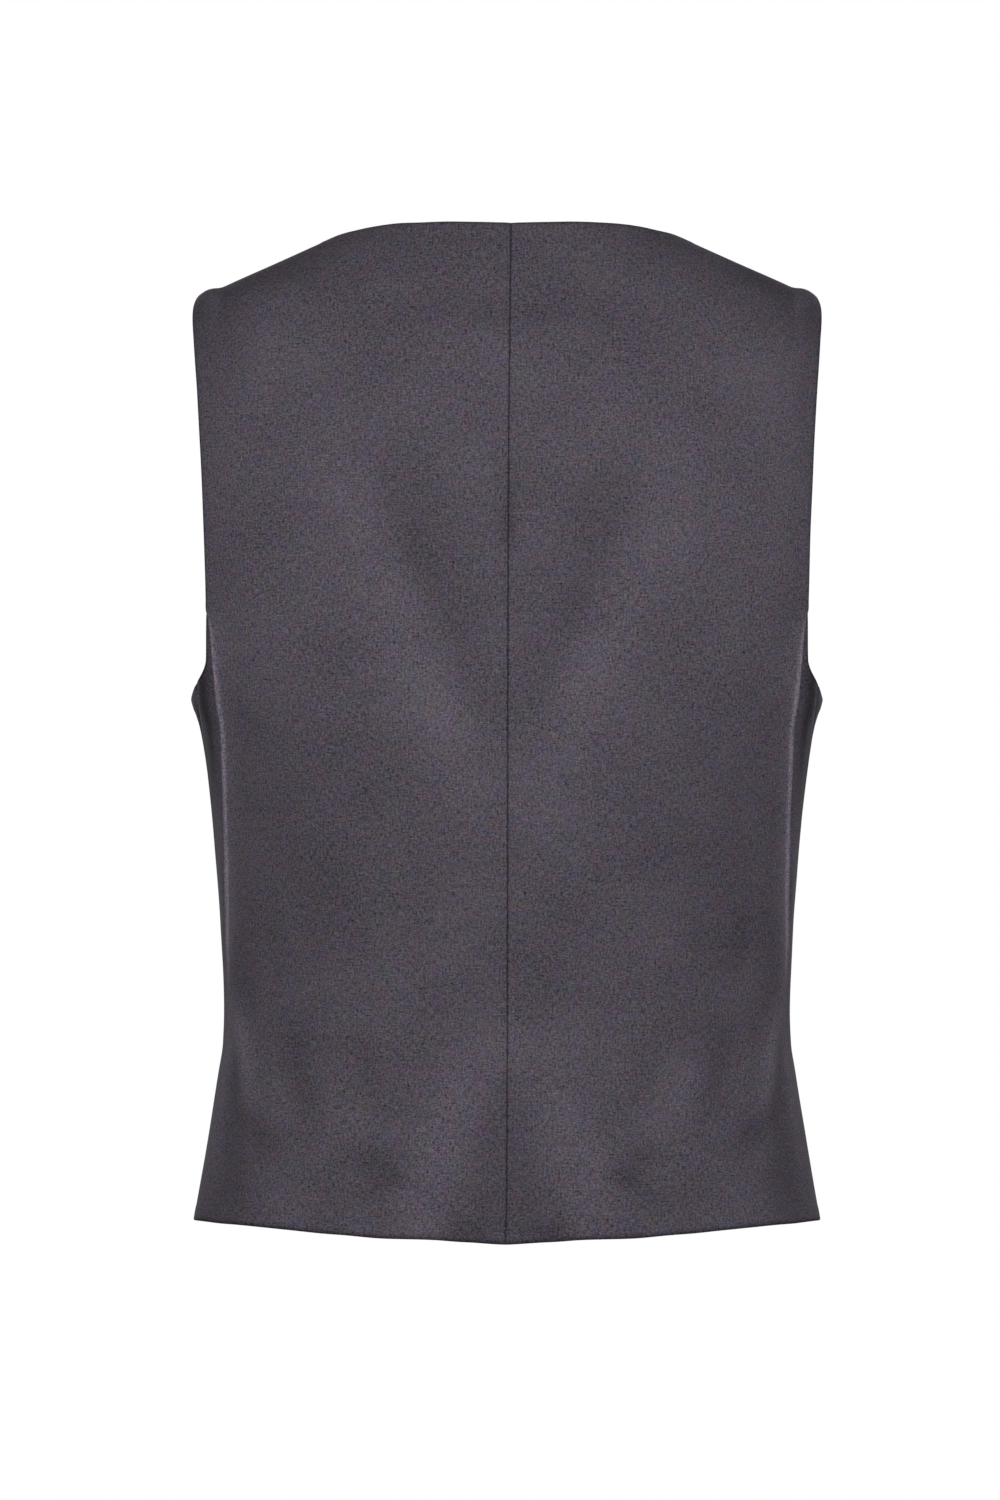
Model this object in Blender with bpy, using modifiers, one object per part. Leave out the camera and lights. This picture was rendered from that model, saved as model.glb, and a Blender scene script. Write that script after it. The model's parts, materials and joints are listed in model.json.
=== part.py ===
"""A tailored suit waistcoat, hollow, as it hangs when it is worn on a general figure.

X runs across the body with the wearer's left at +X, the front faces -Y and Z is up. The origin is
where the wearer's shoulders hold the garment up: midway between the two shoulder seams, at the
height of their middles. Lengths in the tables are millimetres. "drop" is the height below the
nape, a millimetre under the neck edge at the centre back, and "turn" is the angle round the body,
from 0 at the centre back over 90 at the side to 180 at the centre front.
"""

import math

import bpy
import numpy as np
from mathutils import Matrix, Vector

MM = 0.001

# Cloth
WALL = 2.0  # shell, canvas and turned edges together
SEAM_GAP = 0.3  # between two pieces that are sewn together
LAP_GAP = 0.7  # between the two fronts where they overlap

# Driving sizes
NAPE_HEIGHT = 15.7  # the nape above the origin
NECK_CORNER_DROP = 3.2
SHOULDER_TIP_DROP = 33.6
BACK_SEAM_TOP_DROP = 203.0
SIDE_SEAM_TOP_DROP = 239.0
SIDE_TOP_BLUNT = 1.5  # the side body's upper tip starts this far below the end of its seam
ARMHOLE_TURN_UP_DROP = 243.3  # where the armhole's edge turns up the front
LAP_FADE = 34.0  # width over which the under front dips below the upper one
LAP_FADE_START = 27.0

# Half width of the body, seen from the front or the back. Above the shoulder tip this is the
# shoulder line, and between the tip and the underarm it is the form that the armhole is cut from.
OUTLINE = (
    ("drop", "half"),
    (-11.0, 61.2),
    (2.7, 92.0),
    (16.2, 121.9),
    (29.2, 151.0),
    (32.0, 156.6),
    (36.5, 163.2),
    (44.0, 169.6),
    (56.0, 174.6),
    (74.0, 177.6),
    (100.0, 178.5),
    (160.0, 176.5),
    (215.0, 171.5),
    (247.3, 167.5),
    (262.0, 163.3),
    (282.0, 159.9),
    (322.0, 155.5),
    (364.0, 152.3),
    (412.0, 150.2),
    (430.0, 150.9),
    (445.0, 153.3),
    (524.0, 166.4),
    (560.0, 172.3),
)

# The body from the side: the depth of its widest line, of the centre back and of the centre
# front, and how boxy the back and front halves of a level section are (2 is an ellipse).
PROFILE = (
    ("drop", "middle", "back", "front", "back_power", "front_power"),
    (-12.0, 0.0, 45.0, -38.0, 2.0, 2.0),
    (2.0, 0.0, 54.0, -44.0, 2.0, 2.0),
    (30.0, -1.0, 72.0, -53.0, 2.0, 2.0),
    (60.0, -4.0, 86.0, -66.0, 2.2, 2.1),
    (100.0, -9.0, 95.5, -87.0, 2.5, 2.2),
    (150.0, -14.0, 99.5, -114.0, 2.8, 2.3),
    (200.0, -18.0, 99.5, -136.0, 3.0, 2.35),
    (255.0, -20.0, 95.0, -150.0, 2.9, 2.4),
    (300.0, -20.0, 88.5, -147.0, 2.7, 2.4),
    (350.0, -20.0, 80.0, -135.0, 2.6, 2.4),
    (412.0, -20.0, 74.5, -125.0, 2.5, 2.4),
    (470.0, -20.0, 83.0, -130.0, 2.6, 2.4),
    (530.0, -20.0, 97.0, -138.0, 2.9, 2.5),
    (560.0, -20.0, 104.0, -141.0, 2.9, 2.5),
)

# The neckline behind, and the hem, as heights round the body
NECKLINE = (
    ("turn", "drop"),
    (0.0, -1.0),
    (11.0, -1.65),
    (28.0, -2.2),
    (40.0, -2.2),
    (52.0, -1.6),
    (60.0, -0.8),
    (66.0, 0.2),
    (73.0, 1.1),
    (90.0, 3.2),
)
HEM = (
    ("turn", "drop"),
    (0.0, 526.9),
    (9.0, 526.3),
    (17.0, 525.4),
    (26.0, 523.7),
    (39.0, 521.4),
    (52.0, 520.2),
    (64.0, 520.8),
    (80.0, 523.0),
    (98.0, 526.0),
    (135.0, 535.0),
    (160.0, 541.5),
    (172.5, 544.0),
)

# Seams as turns round the body
BACK_SEAM = (
    ("drop", "turn"),
    (203.0, 55.0),
    (232.0, 54.8),
    (254.0, 56.5),
    (273.0, 59.3),
    (295.0, 62.2),
    (320.0, 65.2),
    (354.0, 69.9),
    (392.0, 76.0),
    (420.0, 79.0),
    (470.0, 80.5),
    (530.0, 80.5),
)
SIDE_SEAM = (
    ("drop", "turn"),
    (239.0, 64.2),
    (244.0, 65.0),
    (251.0, 67.6),
    (261.0, 72.6),
    (272.0, 76.0),
    (300.0, 81.0),
    (350.0, 89.0),
    (412.0, 95.0),
    (530.0, 98.0),
)

# Armhole edge: its distance from the centre plane down the back, its height under the arm, and
# its distance from the centre plane up the front
ARMHOLE_BACK = (
    ("drop", "half"),
    (33.6, 159.2),
    (35.0, 161.3),
    (38.0, 163.0),
    (43.0, 164.2),
    (50.0, 164.6),
    (60.0, 164.3),
    (90.0, 162.0),
    (133.0, 159.4),
    (175.0, 157.6),
    (203.0, 157.0),
    (218.0, 156.9),
    (227.0, 157.2),
    (231.5, 158.6),
    (235.0, 160.6),
    (239.2, 163.1),
    (242.0, 164.6),
)
UNDERARM = (("turn", "drop"), (68.0, 242.0), (73.0, 245.0), (79.0, 246.7), (88.0, 247.3))
ARMHOLE_FRONT = (
    ("drop", "half"),
    (243.5, 165.9),
    (233.0, 161.0),
    (218.0, 153.5),
    (195.0, 146.5),
    (165.0, 143.0),
    (130.0, 144.5),
    (90.0, 152.0),
    (64.0, 159.0),
    (50.0, 162.6),
    (42.0, 163.3),
    (37.0, 162.2),
    (34.6, 160.6),
)

# Front edge: its distance from the centre plane, negative past the centre front. It runs down the
# V neck to the first button, straight down the lap, and out to the point of the hem.
FRONT_EDGE = (
    ("drop", "half"),
    (3.2, 92.0),
    (12.0, 88.0),
    (30.0, 82.0),
    (60.0, 70.0),
    (100.0, 53.0),
    (150.0, 31.0),
    (200.0, 9.0),
    (240.0, -9.0),
    (254.0, -15.0),
    (264.0, -17.6),
    (276.0, -18.0),
    (482.0, -18.0),
    (498.0, -16.0),
    (514.0, -8.0),
    (530.0, 5.0),
    (544.0, 22.0),
)
LAP_TOP_DROP = 264.0

# Soft folds of the cloth: straight spines from one place to another, each with its reach to the
# sides and its height out of the wall (below nought it is a trough). They are alike on both sides.
FOLDS = (
    ("from_turn", "from_drop", "to_turn", "to_drop", "reach", "height"),
    (27.0, 75.0, 2.0, 275.0, 12.0, -2.6),
    (35.0, 80.0, 1.0, 365.0, 18.0, 3.0),
    (44.0, 230.0, 42.0, 480.0, 24.0, -2.6),
    (1.0, 410.0, 19.0, 590.0, 13.0, 4.0),
    (0.0, 430.0, 3.0, 600.0, 11.0, -3.4),
    (62.0, 430.0, 56.0, 600.0, 16.0, -3.0),
    (108.0, 240.0, 118.0, 440.0, 24.0, -1.6),
    (128.0, 420.0, 136.0, 600.0, 24.0, 2.0),
    (165.0, 320.0, 115.0, 415.0, 16.0, -1.2),
)
DEGREE_REACH = 2.2  # millimetres of girth to a degree of turn, where folds are measured

# The shoulder's end stands up a little, held out by the armhole's turned layers
SHOULDER_LIFT = 2.4
SHOULDER_LIFT_START = 149.5  # distance from the centre plane
SHOULDER_LIFT_REACH = 9.0
SHOULDER_LIFT_FALL = 20.0  # drop below the shoulder tip over which it dies away

# Buttons
BUTTON_DROPS = (276.0, 327.0, 378.0, 429.0, 480.0)
BUTTON_RADIUS = 7.6
BUTTON_THICK = 3.2
BUTTON_RIM = 1.7  # width of the raised rim
BUTTON_DISH = 0.8  # depth of the middle below the rim
BUTTON_EDGE = 0.7  # rounding at the outer edge
BUTTON_SEAT = 0.3  # below the button, above the cloth
BUTTON_HOLE_RADIUS = 0.9
BUTTON_HOLE_OFFSET = 1.6
BUTTON_STEPS = 24
HOLE_STEPS = 8

# Cells of the panels' grids along each cut line
BACK_HEM_CELLS = 15
SEAM_CELLS = 18
BACK_ARMHOLE_CELLS = 14
SHOULDER_CELLS = 7
SIDE_HEM_CELLS = 4
UNDERARM_CELLS = 7
FRONT_ARMHOLE_CELLS = 18
FRONT_HEM_CELLS = 18
FINE = 400  # samples along a cut line before it is divided into cells

COLLECTION = "suit_waistcoat"
LEFT = 1.0
RIGHT = -1.0


def spline(rows, at):
    """The natural cubic spline through two columns of rows, read at some places."""
    x, y = np.array(rows, float).T
    h = np.diff(x)
    slope = np.diff(y) / h
    system = np.eye(len(x))
    right = np.zeros(len(x))
    for i in range(1, len(x) - 1):
        system[i, i - 1 : i + 2] = h[i - 1], 2 * (h[i - 1] + h[i]), h[i]
        right[i] = 6 * (slope[i] - slope[i - 1])
    bend = np.linalg.solve(system, right)
    at = np.asarray(at, float)
    i = np.clip(np.searchsorted(x, at) - 1, 0, len(h) - 1)
    t = at - x[i]
    first = slope[i] - h[i] * (2 * bend[i] + bend[i + 1]) / 6
    return y[i] + t * (first + t * (bend[i] / 2 + t * (bend[i + 1] - bend[i]) / (6 * h[i])))


def taut(rows, at):
    """A smooth curve through two columns of rows that never overshoots them."""
    x, y = np.array(rows, float).T
    h = np.diff(x)
    slope = np.diff(y) / h
    tangent = np.zeros(len(x))
    same = slope[:-1] * slope[1:] > 0
    w1 = 2 * h[1:] + h[:-1]
    w2 = h[1:] + 2 * h[:-1]
    safe = np.where(same, slope[:-1] * slope[1:], 1.0)
    mean = safe * (w1 + w2) / np.where(same, w1 * slope[1:] + w2 * slope[:-1], 1.0)
    tangent[1:-1] = np.where(same, mean, 0.0)
    tangent[0], tangent[-1] = slope[0], slope[-1]
    at = np.asarray(at, float)
    i = np.clip(np.searchsorted(x, at) - 1, 0, len(h) - 1)
    t = (at - x[i]) / h[i]
    t = np.where(at > x[-1], 1.0, np.where(at < x[0], 0.0, t))
    beyond = np.where(at > x[-1], at - x[-1], np.where(at < x[0], at - x[0], 0.0))
    curve = (
        y[i] * (1 + 2 * t) * (1 - t) ** 2
        + h[i] * tangent[i] * t * (1 - t) ** 2
        + y[i + 1] * t * t * (3 - 2 * t)
        - h[i] * tangent[i + 1] * t * t * (1 - t)
    )
    return curve + beyond * np.where(at > x[-1], tangent[-1], tangent[0])


def columns(table, *names):
    """The named columns of a table whose first row has the names."""
    order = [table[0].index(name) for name in names]
    return [tuple(row[k] for k in order) for row in table[1:]]


def section(drop):
    """The sizes of the level section at a drop."""
    half = taut(columns(OUTLINE, "drop", "half"), drop)
    return [half] + [spline(columns(PROFILE, "drop", name), drop) for name in PROFILE[0][1:]]


def body_point(turn, drop):
    """The smooth form of the left half at a turn and a drop, before any fold."""
    turn = np.radians(turn)
    half, middle, back, front, back_power, front_power = section(drop)
    behind = np.cos(turn) >= 0
    power = np.where(behind, back_power, front_power)
    across = np.abs(np.sin(turn))
    along = np.abs(np.cos(turn))
    radius = (across**power + along**power) ** (-1 / power)
    x = half * radius * across * np.sign(np.sin(turn))
    y = middle + np.where(behind, back - middle, front - middle) * radius * along
    return np.stack([x, y, NAPE_HEIGHT - drop], axis=-1)


def turn_at(half_x, drop, behind):
    """The turn at which the section is this far from the centre plane."""
    half, _, _, _, back_power, front_power = section(drop)
    power = back_power if behind else front_power
    share = np.clip(np.abs(half_x) / half, 0, 0.99999) ** power
    angle = np.degrees(np.arctan((share / (1 - share)) ** (1 / power)))
    return angle if behind else 180 - angle * np.sign(half_x)


def normal_of(point, turn, drop, step_turn=0.05, step_drop=0.05):
    """The unit normal, pointing out, of a surface given as a function of turn and drop."""
    round_body = point(turn + step_turn, drop) - point(turn - step_turn, drop)
    down = point(turn, drop + step_drop) - point(turn, drop - step_drop)
    normal = np.cross(round_body, down)
    return normal / np.linalg.norm(normal, axis=-1, keepdims=True)


def fold_height(turn, drop):
    """How far both halves' folds lift the cloth at a place. A fold dies away toward its ends."""
    height = np.zeros(np.shape(turn))
    for mirrored in (turn, -turn, 360 - turn):
        place = np.stack([mirrored * DEGREE_REACH, drop], axis=-1)
        for from_turn, from_drop, to_turn, to_drop, reach, rise in columns(FOLDS, *FOLDS[0]):
            start = np.array([from_turn * DEGREE_REACH, from_drop])
            spine = np.array([to_turn * DEGREE_REACH, to_drop]) - start
            along = np.clip((place - start) @ spine / (spine @ spine), 0, 1)
            away = np.linalg.norm(place - start - along[..., None] * spine, axis=-1)
            swell = (1 - (2 * along - 1) ** 2) ** 1.5
            height += rise * swell * np.exp(-((away / reach) ** 2))
    return height


def shoulder_lift(turn, drop):
    """How far the shoulder's end stands up."""
    x = body_point(turn, drop)[..., 0]
    rise = np.clip((x - SHOULDER_LIFT_START) / SHOULDER_LIFT_REACH, 0, 1)
    fall = np.clip((drop - SHOULDER_TIP_DROP) / SHOULDER_LIFT_FALL, 0, None)
    return SHOULDER_LIFT * rise * rise * (3 - 2 * rise) * np.exp(-(fall**2))


def lap_depth(turn, drop):
    """How far the under front lies below the upper one."""
    x = body_point(turn, drop)[..., 0]
    t = np.clip((x - LAP_FADE_START) / LAP_FADE, 0, 1)
    return (WALL + LAP_GAP) * (1 - t * t * (3 - 2 * t))


def cloth_point(turn, drop, under=False):
    """The outer face of the left half's cloth, with its folds and, on the under front, the lap."""
    lift = fold_height(turn, drop) + shoulder_lift(turn, drop)
    if under:
        lift = lift - lap_depth(turn, drop)
    return body_point(turn, drop) + lift[..., None] * normal_of(body_point, turn, drop)


def gap_turn(turn, drop, gap):
    """The turn that covers half a seam's gap."""
    step = 0.05
    reach = np.linalg.norm(body_point(turn + step, drop) - body_point(turn, drop), axis=-1)
    return gap / 2 * step / np.maximum(reach, 1e-6)


def girth_scale(drop, behind):
    """Girth of a quarter section for each degree of turn: it unrolls the body to a flat pattern."""
    half, middle, back, front, _, _ = section(drop)
    depth = (back - middle) if behind else (middle - front)
    return math.pi / 2 * np.sqrt((half**2 + depth**2) / 2) / 90


def to_pattern(line, behind):
    """Turn and drop to flat pattern places, measured from the centre back or the centre front."""
    turn, drop = line[:, 0], line[:, 1]
    from_centre = turn if behind else 180 - turn
    return np.stack([from_centre * girth_scale(drop, behind), drop], axis=-1)


def from_pattern(place, behind):
    """Flat pattern places back to turn and drop."""
    drop = place[..., 1]
    from_centre = place[..., 0] / girth_scale(drop, behind)
    return (from_centre if behind else 180 - from_centre), drop


def divide(line, cells):
    """Points that divide a line of turns and drops into cells of equal length on the body."""
    steps = np.diff(body_point(line[:, 0], line[:, 1]), axis=0)
    along = np.concatenate([[0], np.cumsum(np.linalg.norm(steps, axis=1))])
    at = np.linspace(0, along[-1], cells + 1)
    return np.stack([np.interp(at, along, line[:, k]) for k in range(line.shape[1])], axis=-1)


def joined(*lines):
    """Lines put end to end, each next one without its first point."""
    return np.concatenate([lines[0]] + [line[1:] for line in lines[1:]])


def fill(left, right, bottom, top):
    """A grid of places between four divided sides that share their corners."""
    v = np.linspace(0, 1, len(left))[:, None, None]
    u = np.linspace(0, 1, len(bottom))[None, :, None]
    sides = (1 - u) * left[:, None] + u * right[:, None]
    ends = (1 - v) * bottom[None] + v * top[None]
    low_corners = (1 - u) * bottom[0] + u * bottom[-1]
    high_corners = (1 - u) * top[0] + u * top[-1]
    return sides + ends - (1 - v) * low_corners - v * high_corners


def upright(turn_of, low_drop, high_drop):
    """A line up the body, from the lower end to the upper one, at a turn given for each drop."""
    drop = np.linspace(low_drop, high_drop, FINE)
    return np.stack([turn_of(drop), drop], axis=-1)


def hem_drop(turn):
    return spline(columns(HEM, "turn", "drop"), turn)


def hem_line(from_turn, to_turn):
    turn = np.linspace(from_turn, to_turn, FINE)
    return np.stack([turn, hem_drop(turn)], axis=-1)


def hem_end(turn_of):
    """The drop at which a seam meets the hem."""
    drop = float(hem_drop(0.0))
    for _ in range(20):
        drop = float(hem_drop(turn_of(np.array([drop]))[0]))
    return drop


def centre_back(drop):
    zero = np.zeros_like(drop)
    return zero + gap_turn(zero, drop, SEAM_GAP)


def seam(table, side):
    """A seam's cut line on its back side (-1) or its front side (+1)."""

    def turn_of(drop):
        turn = spline(columns(table, "drop", "turn"), drop)
        return turn + side * gap_turn(turn, drop, SEAM_GAP)

    return turn_of


def shoulder(side):
    def turn_of(drop):
        turn = np.full_like(drop, 90.0)
        return turn + side * gap_turn(turn, drop, SEAM_GAP)

    return turn_of


def armhole_back(drop):
    return turn_at(taut(columns(ARMHOLE_BACK, "drop", "half"), drop), drop, True)


def front_edge(drop):
    return turn_at(taut(columns(FRONT_EDGE, "drop", "half"), drop), drop, False)


def underarm_and_front_armhole(start):
    """The armhole edge from the side seam under the arm and up the front to the shoulder tip."""
    rows = [start] + columns(UNDERARM, "turn", "drop")
    up_front = columns(ARMHOLE_FRONT, "drop", "half")
    rows += [(float(turn_at(half, drop, False)), drop) for drop, half in up_front]
    rows += [(90.0, SHOULDER_TIP_DROP)]
    rows = np.array(rows)
    pattern = to_pattern(rows, False)
    along = np.concatenate([[0], np.cumsum(np.linalg.norm(np.diff(pattern, axis=0), axis=1))])
    at = np.linspace(0, along[-1], 4 * FINE)
    turn = taut(np.stack([along, rows[:, 0]], axis=-1), at)
    drop = taut(np.stack([along, rows[:, 1]], axis=-1), at)
    return np.stack([turn, drop], axis=-1)


def level_with(line, turn_of, low_drop, high_drop):
    """A line at a turn given for each drop, with a point level with each point of another line."""
    share = (line[:, 1] - line[-1, 1]) / (line[0, 1] - line[-1, 1])
    drop = high_drop + share * (low_drop - high_drop)
    return np.stack([turn_of(drop), drop], axis=-1)


def panel_block(left, right, bottom, top, behind):
    """The grid between four divided cut lines of turns and drops, filled on the flat pattern."""
    left, right = left.copy(), right.copy()
    left[0], left[-1], right[0], right[-1] = bottom[0], top[0], bottom[-1], top[-1]
    return fill(*(to_pattern(line, behind) for line in (left, right, bottom, top)))


def back_blocks():
    seam_turn = seam(BACK_SEAM, -1)
    seam_line = upright(seam_turn, hem_end(seam_turn), BACK_SEAM_TOP_DROP)
    arm_line = upright(armhole_back, BACK_SEAM_TOP_DROP, SHOULDER_TIP_DROP)
    tip_line = upright(shoulder(-1), SHOULDER_TIP_DROP, NECK_CORNER_DROP)
    arm_line[0], arm_line[-1] = seam_line[-1], tip_line[0]
    right = joined(
        divide(seam_line, SEAM_CELLS),
        divide(arm_line, BACK_ARMHOLE_CELLS),
        divide(tip_line, SHOULDER_CELLS),
    )
    (neck_top,) = columns(NECKLINE, "drop")[0]
    left = level_with(right, centre_back, hem_end(centre_back), neck_top)
    neck_turn = np.linspace(left[-1, 0], right[-1, 0], FINE)
    neck_drop = taut(columns(NECKLINE, "turn", "drop"), neck_turn)
    neck_line = np.stack([neck_turn, neck_drop], axis=-1)
    hem = hem_line(left[0, 0], right[0, 0])
    bottom, top = divide(hem, BACK_HEM_CELLS), divide(neck_line, BACK_HEM_CELLS)
    return [panel_block(left, right, bottom, top, True)]


def side_blocks():
    back_turn, side_turn = seam(BACK_SEAM, 1), seam(SIDE_SEAM, -1)
    left = upright(back_turn, hem_end(back_turn), BACK_SEAM_TOP_DROP + SIDE_TOP_BLUNT)
    right = upright(side_turn, hem_end(side_turn), SIDE_SEAM_TOP_DROP)
    top = upright(armhole_back, BACK_SEAM_TOP_DROP + SIDE_TOP_BLUNT, SIDE_SEAM_TOP_DROP)
    top[-1] = right[-1]
    hem = hem_line(left[0, 0], right[0, 0])
    left, right = divide(left, SEAM_CELLS), divide(right, SEAM_CELLS)
    bottom, top = divide(hem, SIDE_HEM_CELLS), divide(top, SIDE_HEM_CELLS)
    return [panel_block(left, right, bottom, top, True)]


def front_blocks():
    side_turn = seam(SIDE_SEAM, 1)
    side_line = upright(side_turn, hem_end(side_turn), SIDE_SEAM_TOP_DROP)
    tip_line = upright(shoulder(1), SHOULDER_TIP_DROP, NECK_CORNER_DROP)
    arm = underarm_and_front_armhole(tuple(side_line[-1]))
    arm[-1] = tip_line[0]
    lowest = int(np.argmax(arm[:, 1]))
    turn_up = lowest + int(np.argmax(arm[lowest:, 1] < ARMHOLE_TURN_UP_DROP))
    right = joined(divide(arm[turn_up:], FRONT_ARMHOLE_CELLS), divide(tip_line, SHOULDER_CELLS))
    left = level_with(right, front_edge, LAP_TOP_DROP, NECK_CORNER_DROP)
    left[-1] = right[-1]
    across = divide(np.linspace(left[0], right[0], FINE), FRONT_HEM_CELLS - UNDERARM_CELLS)
    upper = panel_block(left, right, across, np.repeat(right[-1:], len(across), axis=0), False)
    (point_drop,) = columns(FRONT_EDGE, "drop")[-1]
    edge_line = upright(front_edge, point_drop, LAP_TOP_DROP)
    lower = panel_block(
        divide(edge_line, SEAM_CELLS),
        divide(side_line, SEAM_CELLS),
        divide(hem_line(edge_line[0, 0], side_line[0, 0]), FRONT_HEM_CELLS),
        joined(across, divide(arm[: turn_up + 1][::-1], UNDERARM_CELLS)),
        False,
    )
    return [lower, upper]


def sheet_of(blocks):
    """The places and cells of one sheet, with the blocks joined where they share a line."""
    places, cells, known = [], [], {}
    for block in blocks:
        rows, columns = block.shape[:2]
        index = np.zeros((rows, columns), int)
        for i in range(rows):
            for j in range(columns):
                key = tuple(np.round(block[i, j], 4))
                if key not in known:
                    known[key] = len(places)
                    places.append(block[i, j])
                index[i, j] = known[key]
        for i in range(rows - 1):
            for j in range(columns - 1):
                corners = (index[i, j], index[i, j + 1], index[i + 1, j + 1], index[i + 1, j])
                cells.append(tuple(dict.fromkeys(corners)))
    return np.array(places), cells


def rim_edges(cells):
    """The directed edges that only one cell has: the sheet's cut edges."""
    edges = [(cell[k - 1], cell[k]) for cell in cells for k in range(len(cell))]
    there = set(edges)
    return [edge for edge in edges if (edge[1], edge[0]) not in there]


def make_panel(name, blocks, behind, side, under, material, collection):
    """One piece of cloth: an outer face, an inner face a wall's thickness in, and its edges."""
    places, cells = sheet_of(blocks)
    turn, drop = from_pattern(places, behind)

    def face(a, b):
        return cloth_point(a, b, under)

    outer = face(turn, drop)
    inner = outer - WALL * normal_of(face, turn, drop)
    points = np.concatenate([outer, inner]) * MM * np.array([side, 1, 1])
    count = len(outer)
    faces = [tuple(cell) for cell in cells]
    faces += [tuple(corner + count for corner in reversed(cell)) for cell in cells]
    faces += [(b, a, a + count, b + count) for a, b in rim_edges(cells)]
    turned_left = side * (1 if behind else -1) > 0
    if turned_left:
        faces = [tuple(reversed(f)) for f in faces]
    mesh = bpy.data.meshes.new(name)
    mesh.from_pydata([tuple(p) for p in points], [], faces)
    mesh.materials.append(material)
    mesh.shade_smooth()
    mesh.set_sharp_from_angle(angle=math.radians(40))
    panel = bpy.data.objects.new(name, mesh)
    collection.objects.link(panel)
    return panel


def button_mesh(material, guides):
    """A turned four-hole button, its underside at z = 0."""
    rim = BUTTON_RADIUS - BUTTON_RIM
    profile = [
        (0.0, BUTTON_THICK - BUTTON_DISH),
        (rim - 1.0, BUTTON_THICK - BUTTON_DISH),
        (rim, BUTTON_THICK),
        (BUTTON_RADIUS - BUTTON_EDGE, BUTTON_THICK),
        (BUTTON_RADIUS, BUTTON_THICK - BUTTON_EDGE),
        (BUTTON_RADIUS, BUTTON_THICK / 2),
        (BUTTON_RADIUS - 2 * BUTTON_EDGE, 0.0),
        (0.0, 0.0),
    ]
    mesh = bpy.data.meshes.new("button_profile")
    corners = [(r * MM, 0.0, z * MM) for r, z in profile]
    mesh.from_pydata(corners, [(i, i + 1) for i in range(len(corners) - 1)], [])
    turned = bpy.data.objects.new("button_profile", mesh)
    guides.objects.link(turned)
    screw = turned.modifiers.new("turn", "SCREW")
    screw.steps = screw.render_steps = BUTTON_STEPS
    screw.use_merge_vertices = True
    screw.merge_threshold = 0.00001
    for k in range(4):
        angle = math.pi / 4 + k * math.pi / 2
        reach = BUTTON_HOLE_OFFSET * MM
        bpy.ops.mesh.primitive_cylinder_add(
            vertices=HOLE_STEPS,
            radius=BUTTON_HOLE_RADIUS * MM,
            depth=3 * BUTTON_THICK * MM,
            location=(reach * math.cos(angle), reach * math.sin(angle), 0),
        )
        drill = bpy.context.object
        drill.name = f"button_drill_{k + 1}"
        for owner in list(drill.users_collection):
            owner.objects.unlink(drill)
        guides.objects.link(drill)
        drill.hide_render = True
        drill.display_type = "WIRE"
        cut = turned.modifiers.new(drill.name, "BOOLEAN")
        cut.operation = "DIFFERENCE"
        cut.object = drill
    bpy.context.view_layer.update()
    ready = turned.evaluated_get(bpy.context.evaluated_depsgraph_get())
    finished = bpy.data.meshes.new_from_object(ready)
    finished.name = "button"
    finished.materials.clear()
    finished.materials.append(material)
    finished.shade_smooth()
    finished.set_sharp_from_angle(angle=math.radians(35))
    bpy.data.objects.remove(turned)
    return finished


def make_buttons(material, collection, guides):
    mesh = button_mesh(material, guides)
    for number, drop in enumerate(BUTTON_DROPS, 1):
        turn, level = np.array([180.0]), np.array([drop])
        normal = Vector(normal_of(cloth_point, turn, level)[0])
        seat = Vector(cloth_point(turn, level)[0]) + normal * BUTTON_SEAT
        button = bpy.data.objects.new(f"button_{number}", mesh)
        collection.objects.link(button)
        turned = normal.to_track_quat("Z", "Y").to_matrix().to_4x4()
        button.matrix_world = Matrix.Translation(seat * MM) @ turned


def make_material(name, colour, roughness):
    material = bpy.data.materials.new(name)
    material.use_nodes = True
    shader = material.node_tree.nodes["Principled BSDF"]
    shader.inputs["Base Color"].default_value = (*colour, 1)
    shader.inputs["Roughness"].default_value = roughness
    shader.inputs["Metallic"].default_value = 0.0
    return material


def main():
    for thing in list(bpy.data.objects):
        bpy.data.objects.remove(thing)
    collection = bpy.data.collections.new(COLLECTION)
    guides = bpy.data.collections.new("guides")
    for group in (collection, guides):
        bpy.context.scene.collection.children.link(group)
    wool = make_material("suiting", (0.078, 0.068, 0.083), 0.85)
    horn = make_material("button_resin", (0.030, 0.026, 0.030), 0.35)
    for name, side in (("left", LEFT), ("right", RIGHT)):
        make_panel(f"back_{name}", back_blocks(), True, side, False, wool, collection)
        make_panel(f"side_{name}", side_blocks(), True, side, False, wool, collection)
        make_panel(f"front_{name}", front_blocks(), False, side, side == LEFT, wool, collection)
    make_buttons(horn, collection, guides)


main()
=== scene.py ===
"""Looks of the suit waistcoat, built on its CAD solids.

X runs across the body with the wearer's left at +X, the front faces -Y and Z is up. Lengths in the
tables are millimetres. "drop" is the height below the nape and "turn" the angle round the body,
from 0 at the centre back over 90 at the side to 180 at the centre front. Each piece of cloth is a
thin closed shell on its solid's form, with finer folds, pressed seams and rounded edges.
"""

import json
import math

import bpy
import numpy as np
from mathutils import Matrix, Vector

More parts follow.
